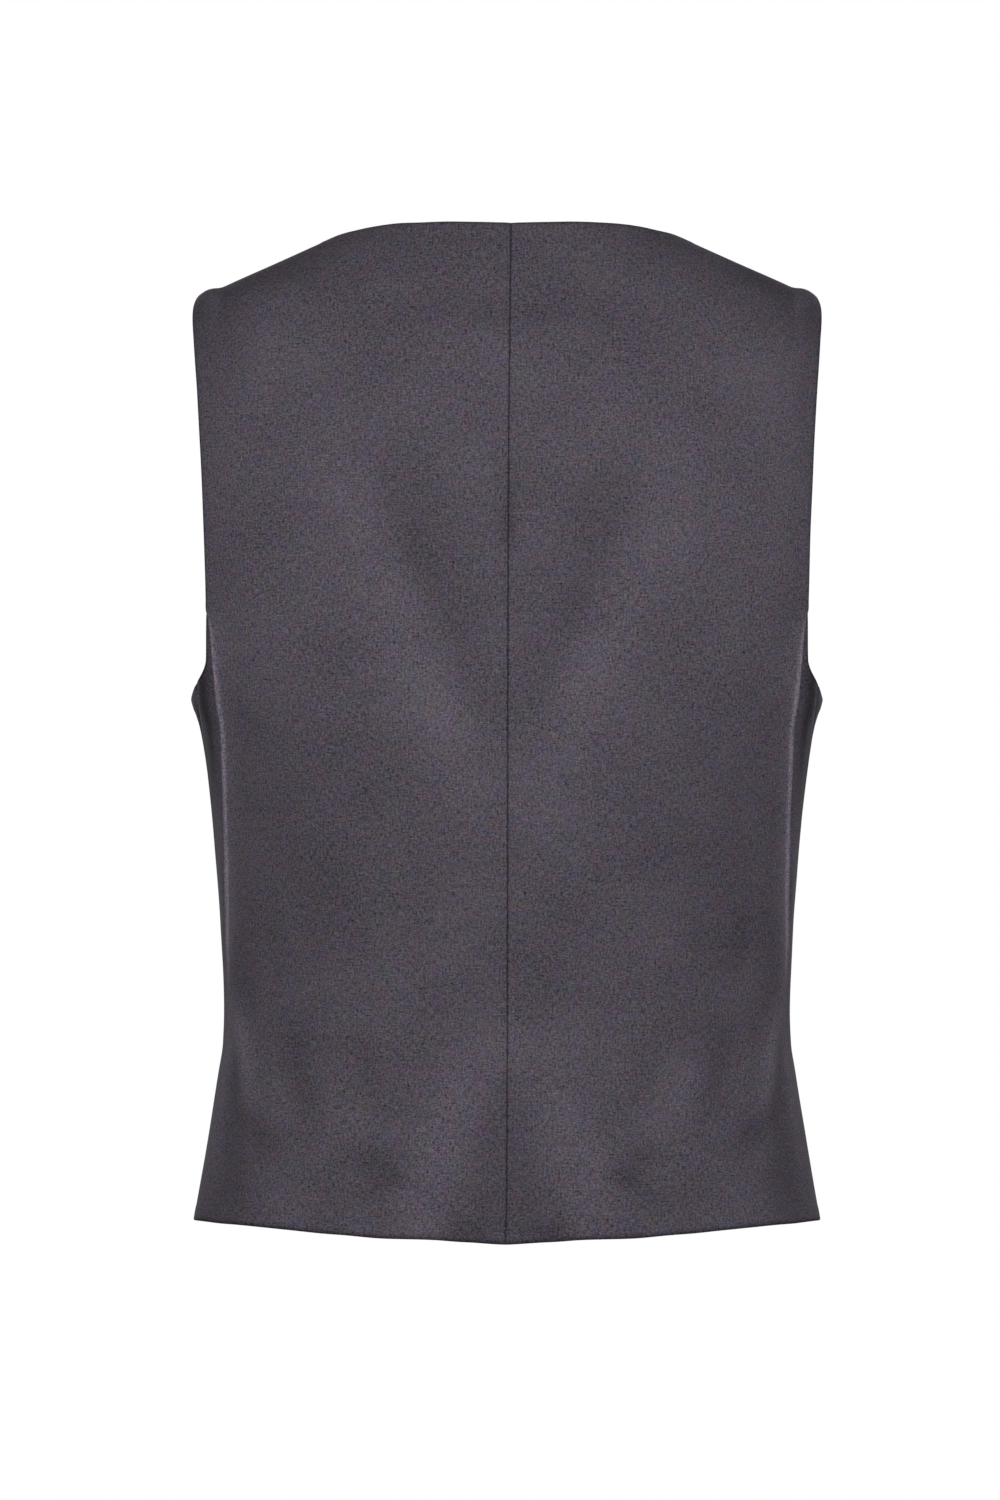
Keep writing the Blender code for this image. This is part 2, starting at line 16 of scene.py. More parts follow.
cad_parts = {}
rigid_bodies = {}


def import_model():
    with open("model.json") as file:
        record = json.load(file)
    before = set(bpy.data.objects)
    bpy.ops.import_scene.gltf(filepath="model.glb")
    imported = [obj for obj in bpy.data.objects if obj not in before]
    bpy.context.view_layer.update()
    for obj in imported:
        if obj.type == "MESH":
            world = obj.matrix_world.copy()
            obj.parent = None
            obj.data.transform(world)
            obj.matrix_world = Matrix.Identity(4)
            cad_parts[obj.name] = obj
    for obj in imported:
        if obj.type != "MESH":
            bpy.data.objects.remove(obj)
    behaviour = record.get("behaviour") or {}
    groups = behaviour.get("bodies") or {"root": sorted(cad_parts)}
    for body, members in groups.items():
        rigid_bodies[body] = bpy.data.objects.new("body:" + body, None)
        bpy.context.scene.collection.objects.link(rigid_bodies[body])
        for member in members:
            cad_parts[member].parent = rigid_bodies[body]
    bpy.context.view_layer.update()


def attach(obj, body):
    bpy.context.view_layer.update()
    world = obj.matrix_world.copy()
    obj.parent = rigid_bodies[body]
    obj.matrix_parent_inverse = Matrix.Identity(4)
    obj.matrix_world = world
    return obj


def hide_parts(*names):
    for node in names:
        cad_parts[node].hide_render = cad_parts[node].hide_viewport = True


MM = 0.001

# Cloth
WALL = 2.0  # shell, canvas and turned edges together
LAP_GAP = 0.7  # between the two fronts where they overlap

# Driving sizes
NAPE_HEIGHT = 15.7  # the nape above the origin
NECK_CORNER_DROP = 3.2
SHOULDER_TIP_DROP = 33.6
BACK_SEAM_TOP_DROP = 203.0
SIDE_SEAM_TOP_DROP = 239.0
SIDE_TOP_BLUNT = 0.3  # from the end of the side body's seam down to its tip
ARMHOLE_TURN_UP_DROP = 243.3  # where the armhole's edge turns up the front
LAP_FADE = 34.0  # width over which the under front dips below the upper one
LAP_FADE_START = 27.0

# Half width of the body, seen from the front or the back. Above the shoulder tip this is the
# shoulder line, and between the tip and the underarm it is the form that the armhole is cut from.
OUTLINE = (
    ("drop", "half"),
    (-11.0, 61.2),
    (2.7, 92.0),
    (16.2, 121.9),
    (29.2, 151.0),
    (32.0, 156.6),
    (36.5, 163.2),
    (44.0, 169.6),
    (56.0, 174.6),
    (74.0, 177.6),
    (100.0, 178.5),
    (160.0, 176.5),
    (215.0, 171.5),
    (247.3, 167.5),
    (262.0, 163.3),
    (282.0, 159.9),
    (322.0, 155.5),
    (364.0, 152.3),
    (412.0, 150.2),
    (430.0, 150.9),
    (445.0, 153.3),
    (524.0, 166.4),
    (560.0, 172.3),
)

# The body from the side: the depth of its widest line, of the centre back and of the centre
# front, and how boxy the back and front halves of a level section are (2 is an ellipse).
PROFILE = (
    ("drop", "middle", "back", "front", "back_power", "front_power"),
    (-12.0, 0.0, 45.0, -38.0, 2.0, 2.0),
    (2.0, 0.0, 54.0, -44.0, 2.0, 2.0),
    (30.0, -1.0, 72.0, -53.0, 2.0, 2.0),
    (60.0, -4.0, 86.0, -66.0, 2.2, 2.1),
    (100.0, -9.0, 95.5, -87.0, 2.5, 2.2),
    (150.0, -14.0, 99.5, -114.0, 2.8, 2.3),
    (200.0, -18.0, 99.5, -136.0, 3.0, 2.35),
    (255.0, -20.0, 95.0, -150.0, 2.9, 2.4),
    (300.0, -20.0, 88.5, -147.0, 2.7, 2.4),
    (350.0, -20.0, 80.0, -135.0, 2.6, 2.4),
    (412.0, -20.0, 74.5, -125.0, 2.5, 2.4),
    (470.0, -20.0, 83.0, -130.0, 2.6, 2.4),
    (530.0, -20.0, 97.0, -138.0, 2.9, 2.5),
    (560.0, -20.0, 104.0, -141.0, 2.9, 2.5),
)

# The neckline behind, and the hem, as heights round the body
NECKLINE = (
    ("turn", "drop"),
    (0.0, -1.0),
    (11.0, -1.65),
    (28.0, -2.2),
    (40.0, -2.2),
    (52.0, -1.6),
    (60.0, -0.8),
    (66.0, 0.2),
    (73.0, 1.1),
    (90.0, 3.2),
)
HEM = (
    ("turn", "drop"),
    (0.0, 526.9),
    (9.0, 526.3),
    (17.0, 525.4),
    (26.0, 523.7),
    (39.0, 521.4),
    (52.0, 520.2),
    (64.0, 520.8),
    (80.0, 523.0),
    (98.0, 526.0),
    (135.0, 535.0),
    (160.0, 541.5),
    (172.5, 544.0),
)

# Seams as turns round the body
BACK_SEAM = (
    ("drop", "turn"),
    (203.0, 55.0),
    (232.0, 54.8),
    (254.0, 56.5),
    (273.0, 59.3),
    (295.0, 62.2),
    (320.0, 65.2),
    (354.0, 69.9),
    (392.0, 76.0),
    (420.0, 79.0),
    (470.0, 80.5),
    (530.0, 80.5),
)
SIDE_SEAM = (
    ("drop", "turn"),
    (239.0, 64.2),
    (244.0, 65.0),
    (251.0, 67.6),
    (261.0, 72.6),
    (272.0, 76.0),
    (300.0, 81.0),
    (350.0, 89.0),
    (412.0, 95.0),
    (530.0, 98.0),
)

# Armhole edge: its distance from the centre plane down the back, its height under the arm, and
# its distance from the centre plane up the front
ARMHOLE_BACK = (
    ("drop", "half"),
    (33.6, 159.2),
    (35.0, 161.3),
    (38.0, 163.0),
    (43.0, 164.2),
    (50.0, 164.6),
    (60.0, 164.3),
    (90.0, 162.0),
    (133.0, 159.4),
    (175.0, 157.6),
    (203.0, 157.0),
    (218.0, 156.9),
    (227.0, 157.2),
    (231.5, 158.6),
    (235.0, 160.6),
    (239.2, 163.1),
    (242.0, 164.6),
)
UNDERARM = (("turn", "drop"), (68.0, 242.0), (73.0, 245.0), (79.0, 246.7), (88.0, 247.3))
ARMHOLE_FRONT = (
    ("drop", "half"),
    (243.5, 165.9),
    (233.0, 161.0),
    (218.0, 153.5),
    (195.0, 146.5),
    (165.0, 143.0),
    (130.0, 144.5),
    (90.0, 152.0),
    (64.0, 159.0),
    (50.0, 162.6),
    (42.0, 163.3),
    (37.0, 162.2),
    (34.6, 160.6),
)

# Front edge: its distance from the centre plane, negative past the centre front. It runs down the
# V neck to the first button, straight down the lap, and out to the point of the hem.
FRONT_EDGE = (
    ("drop", "half"),
    (3.2, 92.0),
    (12.0, 88.0),
    (30.0, 82.0),
    (60.0, 70.0),
    (100.0, 53.0),
    (150.0, 31.0),
    (200.0, 9.0),
    (240.0, -9.0),
    (254.0, -15.0),
    (264.0, -17.6),
    (276.0, -18.0),
    (482.0, -18.0),
    (498.0, -16.0),
    (514.0, -8.0),
    (530.0, 5.0),
    (544.0, 22.0),
)
LAP_TOP_DROP = 264.0

# Soft folds: straight spines, each with its reach to the sides and its height out of the wall
# (below nought it is a trough). They are alike on both sides.
FOLDS = (
    ("from_turn", "from_drop", "to_turn", "to_drop", "reach", "height"),
    (27.0, 75.0, 2.0, 275.0, 12.0, -2.6),
    (35.0, 80.0, 1.0, 365.0, 18.0, 3.0),
    (44.0, 230.0, 42.0, 480.0, 24.0, -2.6),
    (1.0, 410.0, 19.0, 590.0, 13.0, 4.0),
    (0.0, 430.0, 3.0, 600.0, 11.0, -3.4),
    (62.0, 430.0, 56.0, 600.0, 16.0, -3.0),
    (108.0, 240.0, 118.0, 440.0, 24.0, -1.6),
    (128.0, 420.0, 136.0, 600.0, 24.0, 2.0),
    (165.0, 320.0, 115.0, 415.0, 16.0, -1.2),
)
DEGREE_REACH = 2.2  # millimetres of girth to a degree of turn, where folds are measured
FOLD_END = 1.5  # how softly a fold ends

# The shoulder's end stands up a little, held out by the armhole's turned layers
SHOULDER_LIFT = 2.4
SHOULDER_LIFT_START = 149.5  # distance from the centre plane
SHOULDER_LIFT_REACH = 9.0
SHOULDER_LIFT_FALL = 20.0  # drop below the tip over which it dies away

# Buttons
BUTTON_DROPS = (276.0, 327.0, 378.0, 429.0, 480.0)
BUTTON_THICK = 3.2
BUTTON_DISH = 0.8  # depth of the middle below the rim
BUTTON_SEAT = 0.3  # below the button, above the cloth
BUTTON_HOLE_OFFSET = 1.6  # from a hole's centre to the button's

# Sewing at the buttons: the thread that holds one, and the stitched ring of its buttonhole
CORD_SIDES = 6
STRAND_RADIUS = 0.2
STRAND_PITCH = 0.36  # from one of a bar's three strands to the next
STRAND_PATH = (
    ("way", "spread", "rise"),  # way is from the middle to a hole, and rise is above the bar's bed
    (-1.0, 0.5, -0.6),
    (-0.8, 1.0, -0.05),
    (0.0, 1.0, 0.1),
    (0.8, 1.0, -0.05),
    (1.0, 0.5, -0.6),
)
HOLE_LENGTH = 19.0
HOLE_HALF_WIDTH = 0.75
HOLE_MIDDLE = -7.5  # from the centre line toward the side seam
HOLE_SQUARE = 1.6  # how soon the ring's sides run straight
HOLE_LIFT = 0.25
HOLE_STITCH = 0.5  # radius of the ring
HOLE_STITCH_WAVE = 0.16  # and how much it changes from stitch to stitch
HOLE_POINTS = 120

# Grid of the fine shells
CELL = 2.1  # millimetres between grid lines
EDGE_STEPS = (0.0, 0.18, 0.4, 0.7, 1.05, 1.55, 2.2, 3.1, 4.4)  # grid lines close up at an edge
FINE = 700  # samples along a cut line before it is divided
SEARCH_BATCH = 6000  # points set against a line at once
JOIN_DIGITS = 4  # places alike to these decimals are one point
HEM_ROUNDS = 20  # to find where a seam meets the hem

# Seams and edges. A reach is the distance at which a form or a shade has fallen to about a third.
SEAM_DIP = 0.8  # depth of the fine groove along a seam
SEAM_DIP_REACH = 0.34
SEAM_PRESS = 0.3  # and of the pressed valley round it
SEAM_PRESS_REACH = 1.6
SEAM_ROLL = 0.14  # the cloth swells a little beside its seam
SEAM_ROLL_AT = 3.8
SEAM_ROLL_REACH = 2.2
SEAM_SHADE = 0.25  # the groove holds dark
SEAM_FADE = 3.0  # the groove dies away this close to a cut edge
EDGE_BAND = 0.22  # turned edges are this much thicker
EDGE_BAND_WIDTH = 8.0
EDGE_BAND_STEP = 2.0
EDGE_ROUND = 0.85  # share of the half wall that is rounded off
EDGE_SHADE = 0.6  # cut edges hold dark
EDGE_SHADE_REACH = 1.6
PUCKER = 0.13  # small ripples across the centre back seam
PUCKER_PITCH = 9.0
PUCKER_REACH = 6.0
RIDGE = 1.1  # the back's edge stands over the side body along their seam
RIDGE_AT = 1.9
RIDGE_REACH = 1.9
RIDGE_SPAN = (("drop", "share"), (206.0, 0.0), (228.0, 1.0), (320.0, 1.0), (430.0, 0.0))
SUNK = 0.75  # the side body's edge lies lower beside that ridge
SUNK_REACH = 5.0
DART_DIP = 0.55
DART_REACH = 0.9
DART_SHADE = 0.125

# A painted highlight along the back's pressed edge at that seam, most on a crest that leaves it at
# the waist
SEAM_PAINTED_HIGHLIGHT = 1.2
SEAM_HIGHLIGHT_AT = (
    ("drop", "away"),
    (200.0, 2.3),
    (225.0, 2.8),
    (245.0, 3.3),
    (300.0, 3.4),
    (320.0, 3.8),
    (345.0, 4.6),
    (372.0, 5.5),
    (400.0, 8.0),
)
SEAM_HIGHLIGHT_SPREAD = 1.2 / 3.4  # the crest's reach for each millimetre that it lies from the seam
SEAM_HIGHLIGHT_REACH_MOST = 1.6
SEAM_PAINTED_GLOW = 0.36  # the weaker painted highlight all round the crest
SEAM_PAINTED_GLOW_REACH = 11.0
SEAM_HIGHLIGHT_SPAN = (
    ("drop", "share"),
    (198.0, 0.0),
    (214.0, 1.0),
    (325.0, 1.0),
    (345.0, 1.2),
    (375.0, 1.2),
    (402.0, 0.0),
)

# Bands of painted light and shade: where the cloth is painted lighter or darker for light and shade
# falling on it
PAINTED_BANDS = (
    ("from_turn", "from_drop", "to_turn", "to_drop", "reach", "tone"),
    (54.5, 200.0, 70.5, 306.0, 6.4, -0.62),
    (66.0, 200.0, 84.0, 345.0, 14.0, -0.42),
    (70.0, 262.0, 82.0, 352.0, 12.0, -0.24),
    (61.0, 234.0, 76.0, 276.0, 1.2, 0.9),
    (84.0, 180.0, 84.0, 460.0, 13.0, -0.12),
    (80.0, 420.0, 74.0, 640.0, 16.0, -0.04),
    (66.0, 300.0, 68.0, 350.0, 7.0, 0.16),
    (75.0, 372.0, 64.0, 520.0, 9.0, 0.30),
    (50.0, 20.0, 48.0, 250.0, 24.0, 0.14),
    (80.0, 12.0, 50.0, 66.0, 18.0, -0.20),
    (69.0, 394.0, 50.0, 478.0, 5.5, 0.44),
    (-26.0, 51.0, 30.0, 49.0, 9.0, -0.10),
    (0.0, 126.0, 0.0, 186.0, 4.0, -0.16),
    (22.5, 118.0, 3.0, 262.0, 6.0, -0.10),
    (21.5, 176.0, 2.0, 336.0, 12.0, 0.10),
    (7.0, 412.0, 20.0, 536.0, 8.0, 0.18),
    (0.0, 420.0, 0.0, 576.0, 9.0, 0.10),
    (2.0, 523.0, 13.0, 519.0, 5.0, -0.22),
    (31.0, 509.0, 17.0, 489.0, 5.0, -0.16),
)

# The rectangle round each flat net cut and the cut's area, in metres: measured along the cloth, the
# back's and front's from their centre lines, the side's along its own lean
BACK_CUT = (0.218, 0.544, 0.0969)
SIDE_CUT = (0.047, 0.338, 0.0097)
FRONT_CUT = (0.315, 0.567, 0.1019)

# The centre back seam hangs a little askew
ASKEW = (("drop", "shift"), (0.0, -2.0), (140.0, -0.6), (500.0, 0.3), (530.0, 1.0))
ASKEW_REACH = 24.0

# Cloth is never quite even: long ripples run down and round the body
RIPPLE_DOWN = 0.10
RIPPLE_DOWN_PITCH = 60.0
RIPPLE_DOWN_LEAN = 0.3  # millimetres to a degree of turn
RIPPLE_ROUND = 0.08
RIPPLE_ROUND_PITCH = 45.0
RIPPLE_WAVES = 7
WAVE_PITCHES = (0.6, 2.2)  # least and most, to the ripple's own
WAVE_HEIGHTS = (0.4, 1.0)
RIPPLE_SUM = 2.2  # about how high the waves' sum is
RIPPLE_SEED = 11
PANEL_SEEDS = 7  # from one panel's seed to the next
ROUND_SEED = 50
PUCKER_SEED = 3
PANEL_CLOTH = 37.0  # from one panel's part of the cloth to the next's

# Painted light and shade on the cloth: painted lighter where the cloth turns up and darker where it
# turns down, and painted lighter on crests and darker in troughs
SLOPE_PAINTED_SHADING = 0.5
CREST_PAINTED_SHADING = 0.034
STEEPEST = 0.3

# Soft creases, finer than the folds. Side 0 is both halves.
CREASES = (
    ("side", "from_turn", "from_drop", "to_turn", "to_drop", "reach", "height"),
    (0, -6.0, 48.0, 32.0, 48.0, 11.0, -1.3),
    (0, 8.0, 45.0, 15.0, 160.0, 24.0, 1.4),
    (0, 0.0, 122.0, 0.0, 192.0, 3.5, -1.2),
    (0, 70.0, 390.0, 49.0, 480.0, 8.0, 2.2),
    (0, 86.0, 290.0, 88.0, 490.0, 18.0, 0.5),
    (1, 49.0, 410.0, 38.0, 482.0, 10.0, -2.4),
    (-1, 49.0, 414.0, 38.5, 478.0, 9.5, -2.2),
    (0, 59.0, 460.0, 42.0, 492.0, 9.0, -2.2),
    (1, 37.0, 432.0, 33.0, 480.0, 9.0, 1.6),
    (-1, 36.0, 434.0, 33.0, 478.0, 8.0, 1.4),
    (0, 30.0, 478.0, 16.0, 508.0, 7.0, -1.8),
    (0, 25.0, 470.0, 21.0, 576.0, 9.0, -2.6),
    (1, 26.0, 460.0, 46.0, 522.0, 9.0, 1.3),
    (-1, 27.0, 464.0, 45.0, 520.0, 8.0, 1.1),
    (1, 31.0, 418.0, 23.0, 480.0, 9.0, -2.2),
    (-1, 30.0, 422.0, 23.0, 476.0, 8.5, -2.0),
    (0, 33.0, 488.0, 31.0, 566.0, 8.0, -1.7),
    (0, 8.0, 495.0, 10.0, 560.0, 6.0, -1.9),
    (0, 50.0, 350.0, 50.0, 410.0, 8.0, -1.2),
    (1, 52.0, 226.0, 40.0, 272.0, 6.0, 0.45),
    (-1, 53.0, 232.0, 42.0, 266.0, 5.0, 0.4),
    (1, 110.0, 272.0, 148.0, 312.0, 11.0, -2.0),
    (-1, 112.0, 284.0, 146.0, 314.0, 10.0, -1.8),
    (0, 116.0, 300.0, 150.0, 350.0, 13.0, 1.6),
    (0, 96.0, 386.0, 130.0, 426.0, 11.0, -2.2),
    (0, 104.0, 420.0, 134.0, 470.0, 14.0, 1.8),
    (1, 146.0, 418.0, 170.0, 392.0, 8.0, -1.2),
    (-1, 148.0, 408.0, 170.0, 390.0, 7.0, -1.1),
    (0, 150.0, 452.0, 170.0, 484.0, 9.0, 1.2),
    (0, 112.0, 452.0, 102.0, 556.0, 10.0, -1.8),
    (1, 120.0, 176.0, 144.0, 262.0, 12.0, -2.0),
    (-1, 122.0, 170.0, 146.0, 254.0, 11.0, -1.8),
    (0, 132.0, 150.0, 154.0, 236.0, 12.0, 1.5),
    (0, 136.0, 24.0, 146.0, 120.0, 14.0, -1.2),
)
DART = (("turn", "drop"), (142.0, 318.0), (139.0, 412.0), (139.5, 500.0))  # at the waist

# Melange wool. Each noise has its scale to a millimetre, its detail and its roughness.
WOOL = (0.0877, 0.0755, 0.0955)
THREAD_FINE = 1.35  # scale across a thread
WARP_LONG = 0.28  # and along it
WEFT_LONG = 0.32
THREAD_NOISE = (1.0, 3.0, 0.6)
FIBRE_NOISE = (1.0, 3.0, 0.8)
CLOUD_NOISE = (0.022, 2.0, 0.5)
TINT_NOISE = (0.14, 3.0, 0.6)
WARP_CONTRAST = 1.75
WEFT_CONTRAST = 1.35
FIBRE_CONTRAST = 3.7
CLOUD_CONTRAST = 0.5
TINT_CONTRAST = (0.56, 0.34, 0.54)
DARKEST = 0.15
WOOL_ROUGHNESS = 0.75
WOOL_ROUGHNESS_SPREAD = 0.2
WOOL_SPECULAR = 0.06
WEAVE_BUMP = 0.35
WEAVE_DEPTH = 0.00012  # metres

# Other materials: stops of the colour, then the noise's scale to a metre, its detail and its
# roughness, and the surface's roughness
RESIN = ((0.35, (0.016, 0.014, 0.017)), (0.7, (0.050, 0.043, 0.048))), (260.0, 4.0, 0.6), 0.24
RESIN_ROUGHNESS_SPREAD = 0.2
THREAD = ((0.3, (0.030, 0.026, 0.032)), (0.7, (0.075, 0.066, 0.078))), (3000.0, 2.0, 0.6), 0.7
FLOOR = ((0.3, (0.80, 0.80, 0.80)), (0.7, (0.84, 0.84, 0.84))), (3.0, 2.0, 0.5), 0.9

# Stage, camera and light, in metres
FLOOR_RADIUS = 1.3
FLOOR_HEIGHT = -1.3
FLOOR_SIDES = 64
CAMERA_PLACE = (0.00371, 3.1, -0.2582)
CAMERA_LENS = 140.4
CAMERA_SENSOR = 36.0
CAMERA_FAR = 50.0
WORLD_FILL = 0.22  # strength of the world as light
BOX_POWER = 8.7
BOX_REACH = 1.45  # distance of each of the four soft boxes from the garment
BOX_TURN = 30.0  # degrees from straight behind or in front
BOX_HEIGHT = 0.12
BOX_SIZE = 0.8
BOX_AIM = (0.0, 0.0, -0.20)

# The sign of X on each side of the wearer
LEFT = 1.0
RIGHT = -1.0


def spline(rows, at):
    """The natural cubic spline through two columns of rows, read at some places."""
    x, y = np.array(rows, float).T
    h = np.diff(x)
    slope = np.diff(y) / h
    system = np.eye(len(x))
    right = np.zeros(len(x))
    for i in range(1, len(x) - 1):
        system[i, i - 1 : i + 2] = h[i - 1], 2 * (h[i - 1] + h[i]), h[i]
        right[i] = 6 * (slope[i] - slope[i - 1])
    bend = np.linalg.solve(system, right)
    at = np.asarray(at, float)
    i = np.clip(np.searchsorted(x, at) - 1, 0, len(h) - 1)
    t = at - x[i]
    first = slope[i] - h[i] * (2 * bend[i] + bend[i + 1]) / 6
    return y[i] + t * (first + t * (bend[i] / 2 + t * (bend[i + 1] - bend[i]) / (6 * h[i])))


def taut(rows, at):
    """A smooth curve through two columns of rows that never overshoots them."""
    x, y = np.array(rows, float).T
    h = np.diff(x)
    slope = np.diff(y) / h
    tangent = np.zeros(len(x))
    same = slope[:-1] * slope[1:] > 0
    w1 = 2 * h[1:] + h[:-1]
    w2 = h[1:] + 2 * h[:-1]
    safe = np.where(same, slope[:-1] * slope[1:], 1.0)
    mean = safe * (w1 + w2) / np.where(same, w1 * slope[1:] + w2 * slope[:-1], 1.0)
    tangent[1:-1] = np.where(same, mean, 0.0)
    tangent[0], tangent[-1] = slope[0], slope[-1]
    at = np.asarray(at, float)
    i = np.clip(np.searchsorted(x, at) - 1, 0, len(h) - 1)
    t = np.clip((at - x[i]) / h[i], 0, 1)
    beyond = at - np.clip(at, x[0], x[-1])
    curve = (
        y[i] * (1 + 2 * t) * (1 - t) ** 2
        + h[i] * tangent[i] * t * (1 - t) ** 2
        + y[i + 1] * t * t * (3 - 2 * t)
        - h[i] * tangent[i + 1] * t * t * (1 - t)
    )
    return curve + beyond * np.where(at > x[-1], tangent[-1], tangent[0])


def columns(table, *names):
    """The named columns of a table whose first row has the names."""
    order = [table[0].index(name) for name in names]
    return [tuple(row[k] for k in order) for row in table[1:]]


def value_at(table, drop):
    """The second column of a table of two, read at some drops."""
    return np.interp(drop, *np.array(table[1:]).T)


def bell(distance, at, reach):
    """One at a distance, falling away on both sides of it."""
    return np.exp(-(((distance - at) / reach) ** 2))


def smooth_step(share):
    return share * share * (3 - 2 * share)


def section(drop):
    """The sizes of the level section at a drop."""
    half = taut(columns(OUTLINE, "drop", "half"), drop)
    return [half] + [spline(columns(PROFILE, "drop", name), drop) for name in PROFILE[0][1:]]


def body_point(turn, drop):
    """The smooth form of the left half at a turn and a drop, before any fold."""
    turn = np.radians(turn)
    half, middle, back, front, back_power, front_power = section(drop)
    behind = np.cos(turn) >= 0
    power = np.where(behind, back_power, front_power)
    across = np.abs(np.sin(turn))
    along = np.abs(np.cos(turn))
    radius = (across**power + along**power) ** (-1 / power)
    x = half * radius * across * np.sign(np.sin(turn))
    y = middle + np.where(behind, back - middle, front - middle) * radius * along
    return np.stack([x, y, NAPE_HEIGHT - drop], axis=-1)


def turn_at(half_x, drop, behind):
    """The turn at which the section is this far from the centre plane."""
    half, _, _, _, back_power, front_power = section(drop)
    power = back_power if behind else front_power
    share = np.clip(np.abs(half_x) / half, 0, 0.99999) ** power
    angle = np.degrees(np.arctan((share / (1 - share)) ** (1 / power)))
    return angle if behind else 180 - angle * np.sign(half_x)


def normal_of(point, turn, drop, step=0.05):
    """The unit normal, pointing out, of a surface given as a function of turn and drop."""
    round_body = point(turn + step, drop) - point(turn - step, drop)
    down = point(turn, drop + step) - point(turn, drop - step)
    normal = np.cross(round_body, down)
    return normal / np.linalg.norm(normal, axis=-1, keepdims=True)


def swelling(turn, drop, from_turn, from_drop, to_turn, to_drop, reach):
    """One along a straight spine, dying away beside it and toward its ends."""
    place = np.stack([turn * DEGREE_REACH, drop], axis=-1)
    start = np.array([from_turn * DEGREE_REACH, from_drop])
    spine = np.array([to_turn * DEGREE_REACH, to_drop]) - start
    along = np.clip((place - start) @ spine / (spine @ spine), 0, 1)
    away = np.linalg.norm(place - start - along[..., None] * spine, axis=-1)
    return (1 - (2 * along - 1) ** 2) ** FOLD_END * np.exp(-((away / reach) ** 2))


def fold_height(turn, drop):
    """How far both halves' folds lift the cloth at a place."""
    height = np.zeros(np.shape(turn))
    for mirrored in (turn, -turn, 360 - turn):
        for *spine, rise in columns(FOLDS, *FOLDS[0]):
            height += rise * swelling(mirrored, drop, *spine)
    return height


def shoulder_lift(turn, drop):
    """How far the shoulder's end stands up."""
    x = body_point(turn, drop)[..., 0]
    rise = np.clip((x - SHOULDER_LIFT_START) / SHOULDER_LIFT_REACH, 0, 1)
    fall = np.clip((drop - SHOULDER_TIP_DROP) / SHOULDER_LIFT_FALL, 0, None)
    return SHOULDER_LIFT * smooth_step(rise) * np.exp(-(fall**2))


def lap_depth(turn, drop):
    """How far the under front lies below the upper one."""
    x = body_point(turn, drop)[..., 0]
    return (WALL + LAP_GAP) * (1 - smooth_step(np.clip((x - LAP_FADE_START) / LAP_FADE, 0, 1)))


def girth_scale(drop, behind):
    """A quarter section's girth to a degree of turn, which unrolls the body to a flat pattern."""
    half, middle, back, front, _, _ = section(drop)
    depth = (back - middle) if behind else (middle - front)
    return math.pi / 2 * np.sqrt((half**2 + depth**2) / 2) / 90


def to_pattern(line, behind):
    """Turn and drop to flat pattern places, measured from the centre back or the centre front."""
    turn, drop = line[:, 0], line[:, 1]
    from_centre = turn if behind else 180 - turn
    return np.stack([from_centre * girth_scale(drop, behind), drop], axis=-1)


def from_pattern(place, behind):
    """Flat pattern places back to turn and drop."""
    drop = place[..., 1]
    from_centre = place[..., 0] / girth_scale(drop, behind)
    return (from_centre if behind else 180 - from_centre), drop


def nearest_distance(points, line):
    """Distance of each point from a dense line of points, measured to its short segments."""
    line32 = line.astype(np.float32)
    best = np.empty(len(points), int)
    length2 = (line32**2).sum(1)
    for low in range(0, len(points), SEARCH_BATCH):
        some = points[low : low + SEARCH_BATCH].astype(np.float32)
        best[low : low + SEARCH_BATCH] = np.argmin(length2 - 2 * some @ line32.T, axis=1)
    result = np.full(len(points), np.inf)
    before, after = np.maximum(best - 1, 0), np.minimum(best + 1, len(line) - 1)
    for first, second in ((before, best), (best, after)):
        start, step = line[first], line[second] - line[first]
        along = ((points - start) * step).sum(1) / np.maximum((step * step).sum(1), 1e-12)
        foot = start + np.clip(along, 0, 1)[:, None] * step
        result = np.minimum(result, np.linalg.norm(points - foot, axis=1))
    return result


def graded(length, closed_start, closed_end):
    """Shares of a length for its grid lines, closer together at the ends that are edges."""
    start = np.array(EDGE_STEPS if closed_start else (0.0,))
    end = length - np.array(EDGE_STEPS if closed_end else (0.0,))[::-1]
    cells = max(2, round((end[0] - start[-1]) / CELL))
    middle = np.linspace(start[-1], end[0], cells + 1)[1:-1]
    return np.concatenate([start, middle, end]) / length


def length_of(line):
    """A line's length on the body."""
    steps = np.diff(body_point(line[:, 0], line[:, 1]), axis=0)
    return float(np.linalg.norm(steps, axis=1).sum())


def divide(line, shares):
    """Points at shares of a line's length on the body."""
    steps = np.diff(body_point(line[:, 0], line[:, 1]), axis=0)
    along = np.concatenate([[0], np.cumsum(np.linalg.norm(steps, axis=1))])
    at = along[-1] * shares
    return np.stack([np.interp(at, along, line[:, k]) for k in range(2)], axis=-1)


def fill(left, right, bottom, top, across, along):
    """A grid of places between four divided sides that share their corners."""
    v, u = along[:, None, None], across[None, :, None]
    sides = (1 - u) * left[:, None] + u * right[:, None]
    ends = (1 - v) * bottom[None] + v * top[None]
    low_corners = (1 - u) * bottom[0] + u * bottom[-1]
    high_corners = (1 - u) * top[0] + u * top[-1]
    return sides + ends - (1 - v) * low_corners - v * high_corners


def level_with(line, turn_of, low_drop, high_drop):
    """A line at a turn given for each drop, with a point level with each point of another line."""
    share = (line[:, 1] - line[-1, 1]) / (line[0, 1] - line[-1, 1])
    drop = high_drop + share * (low_drop - high_drop)
    return np.stack([turn_of(drop), drop], axis=-1)


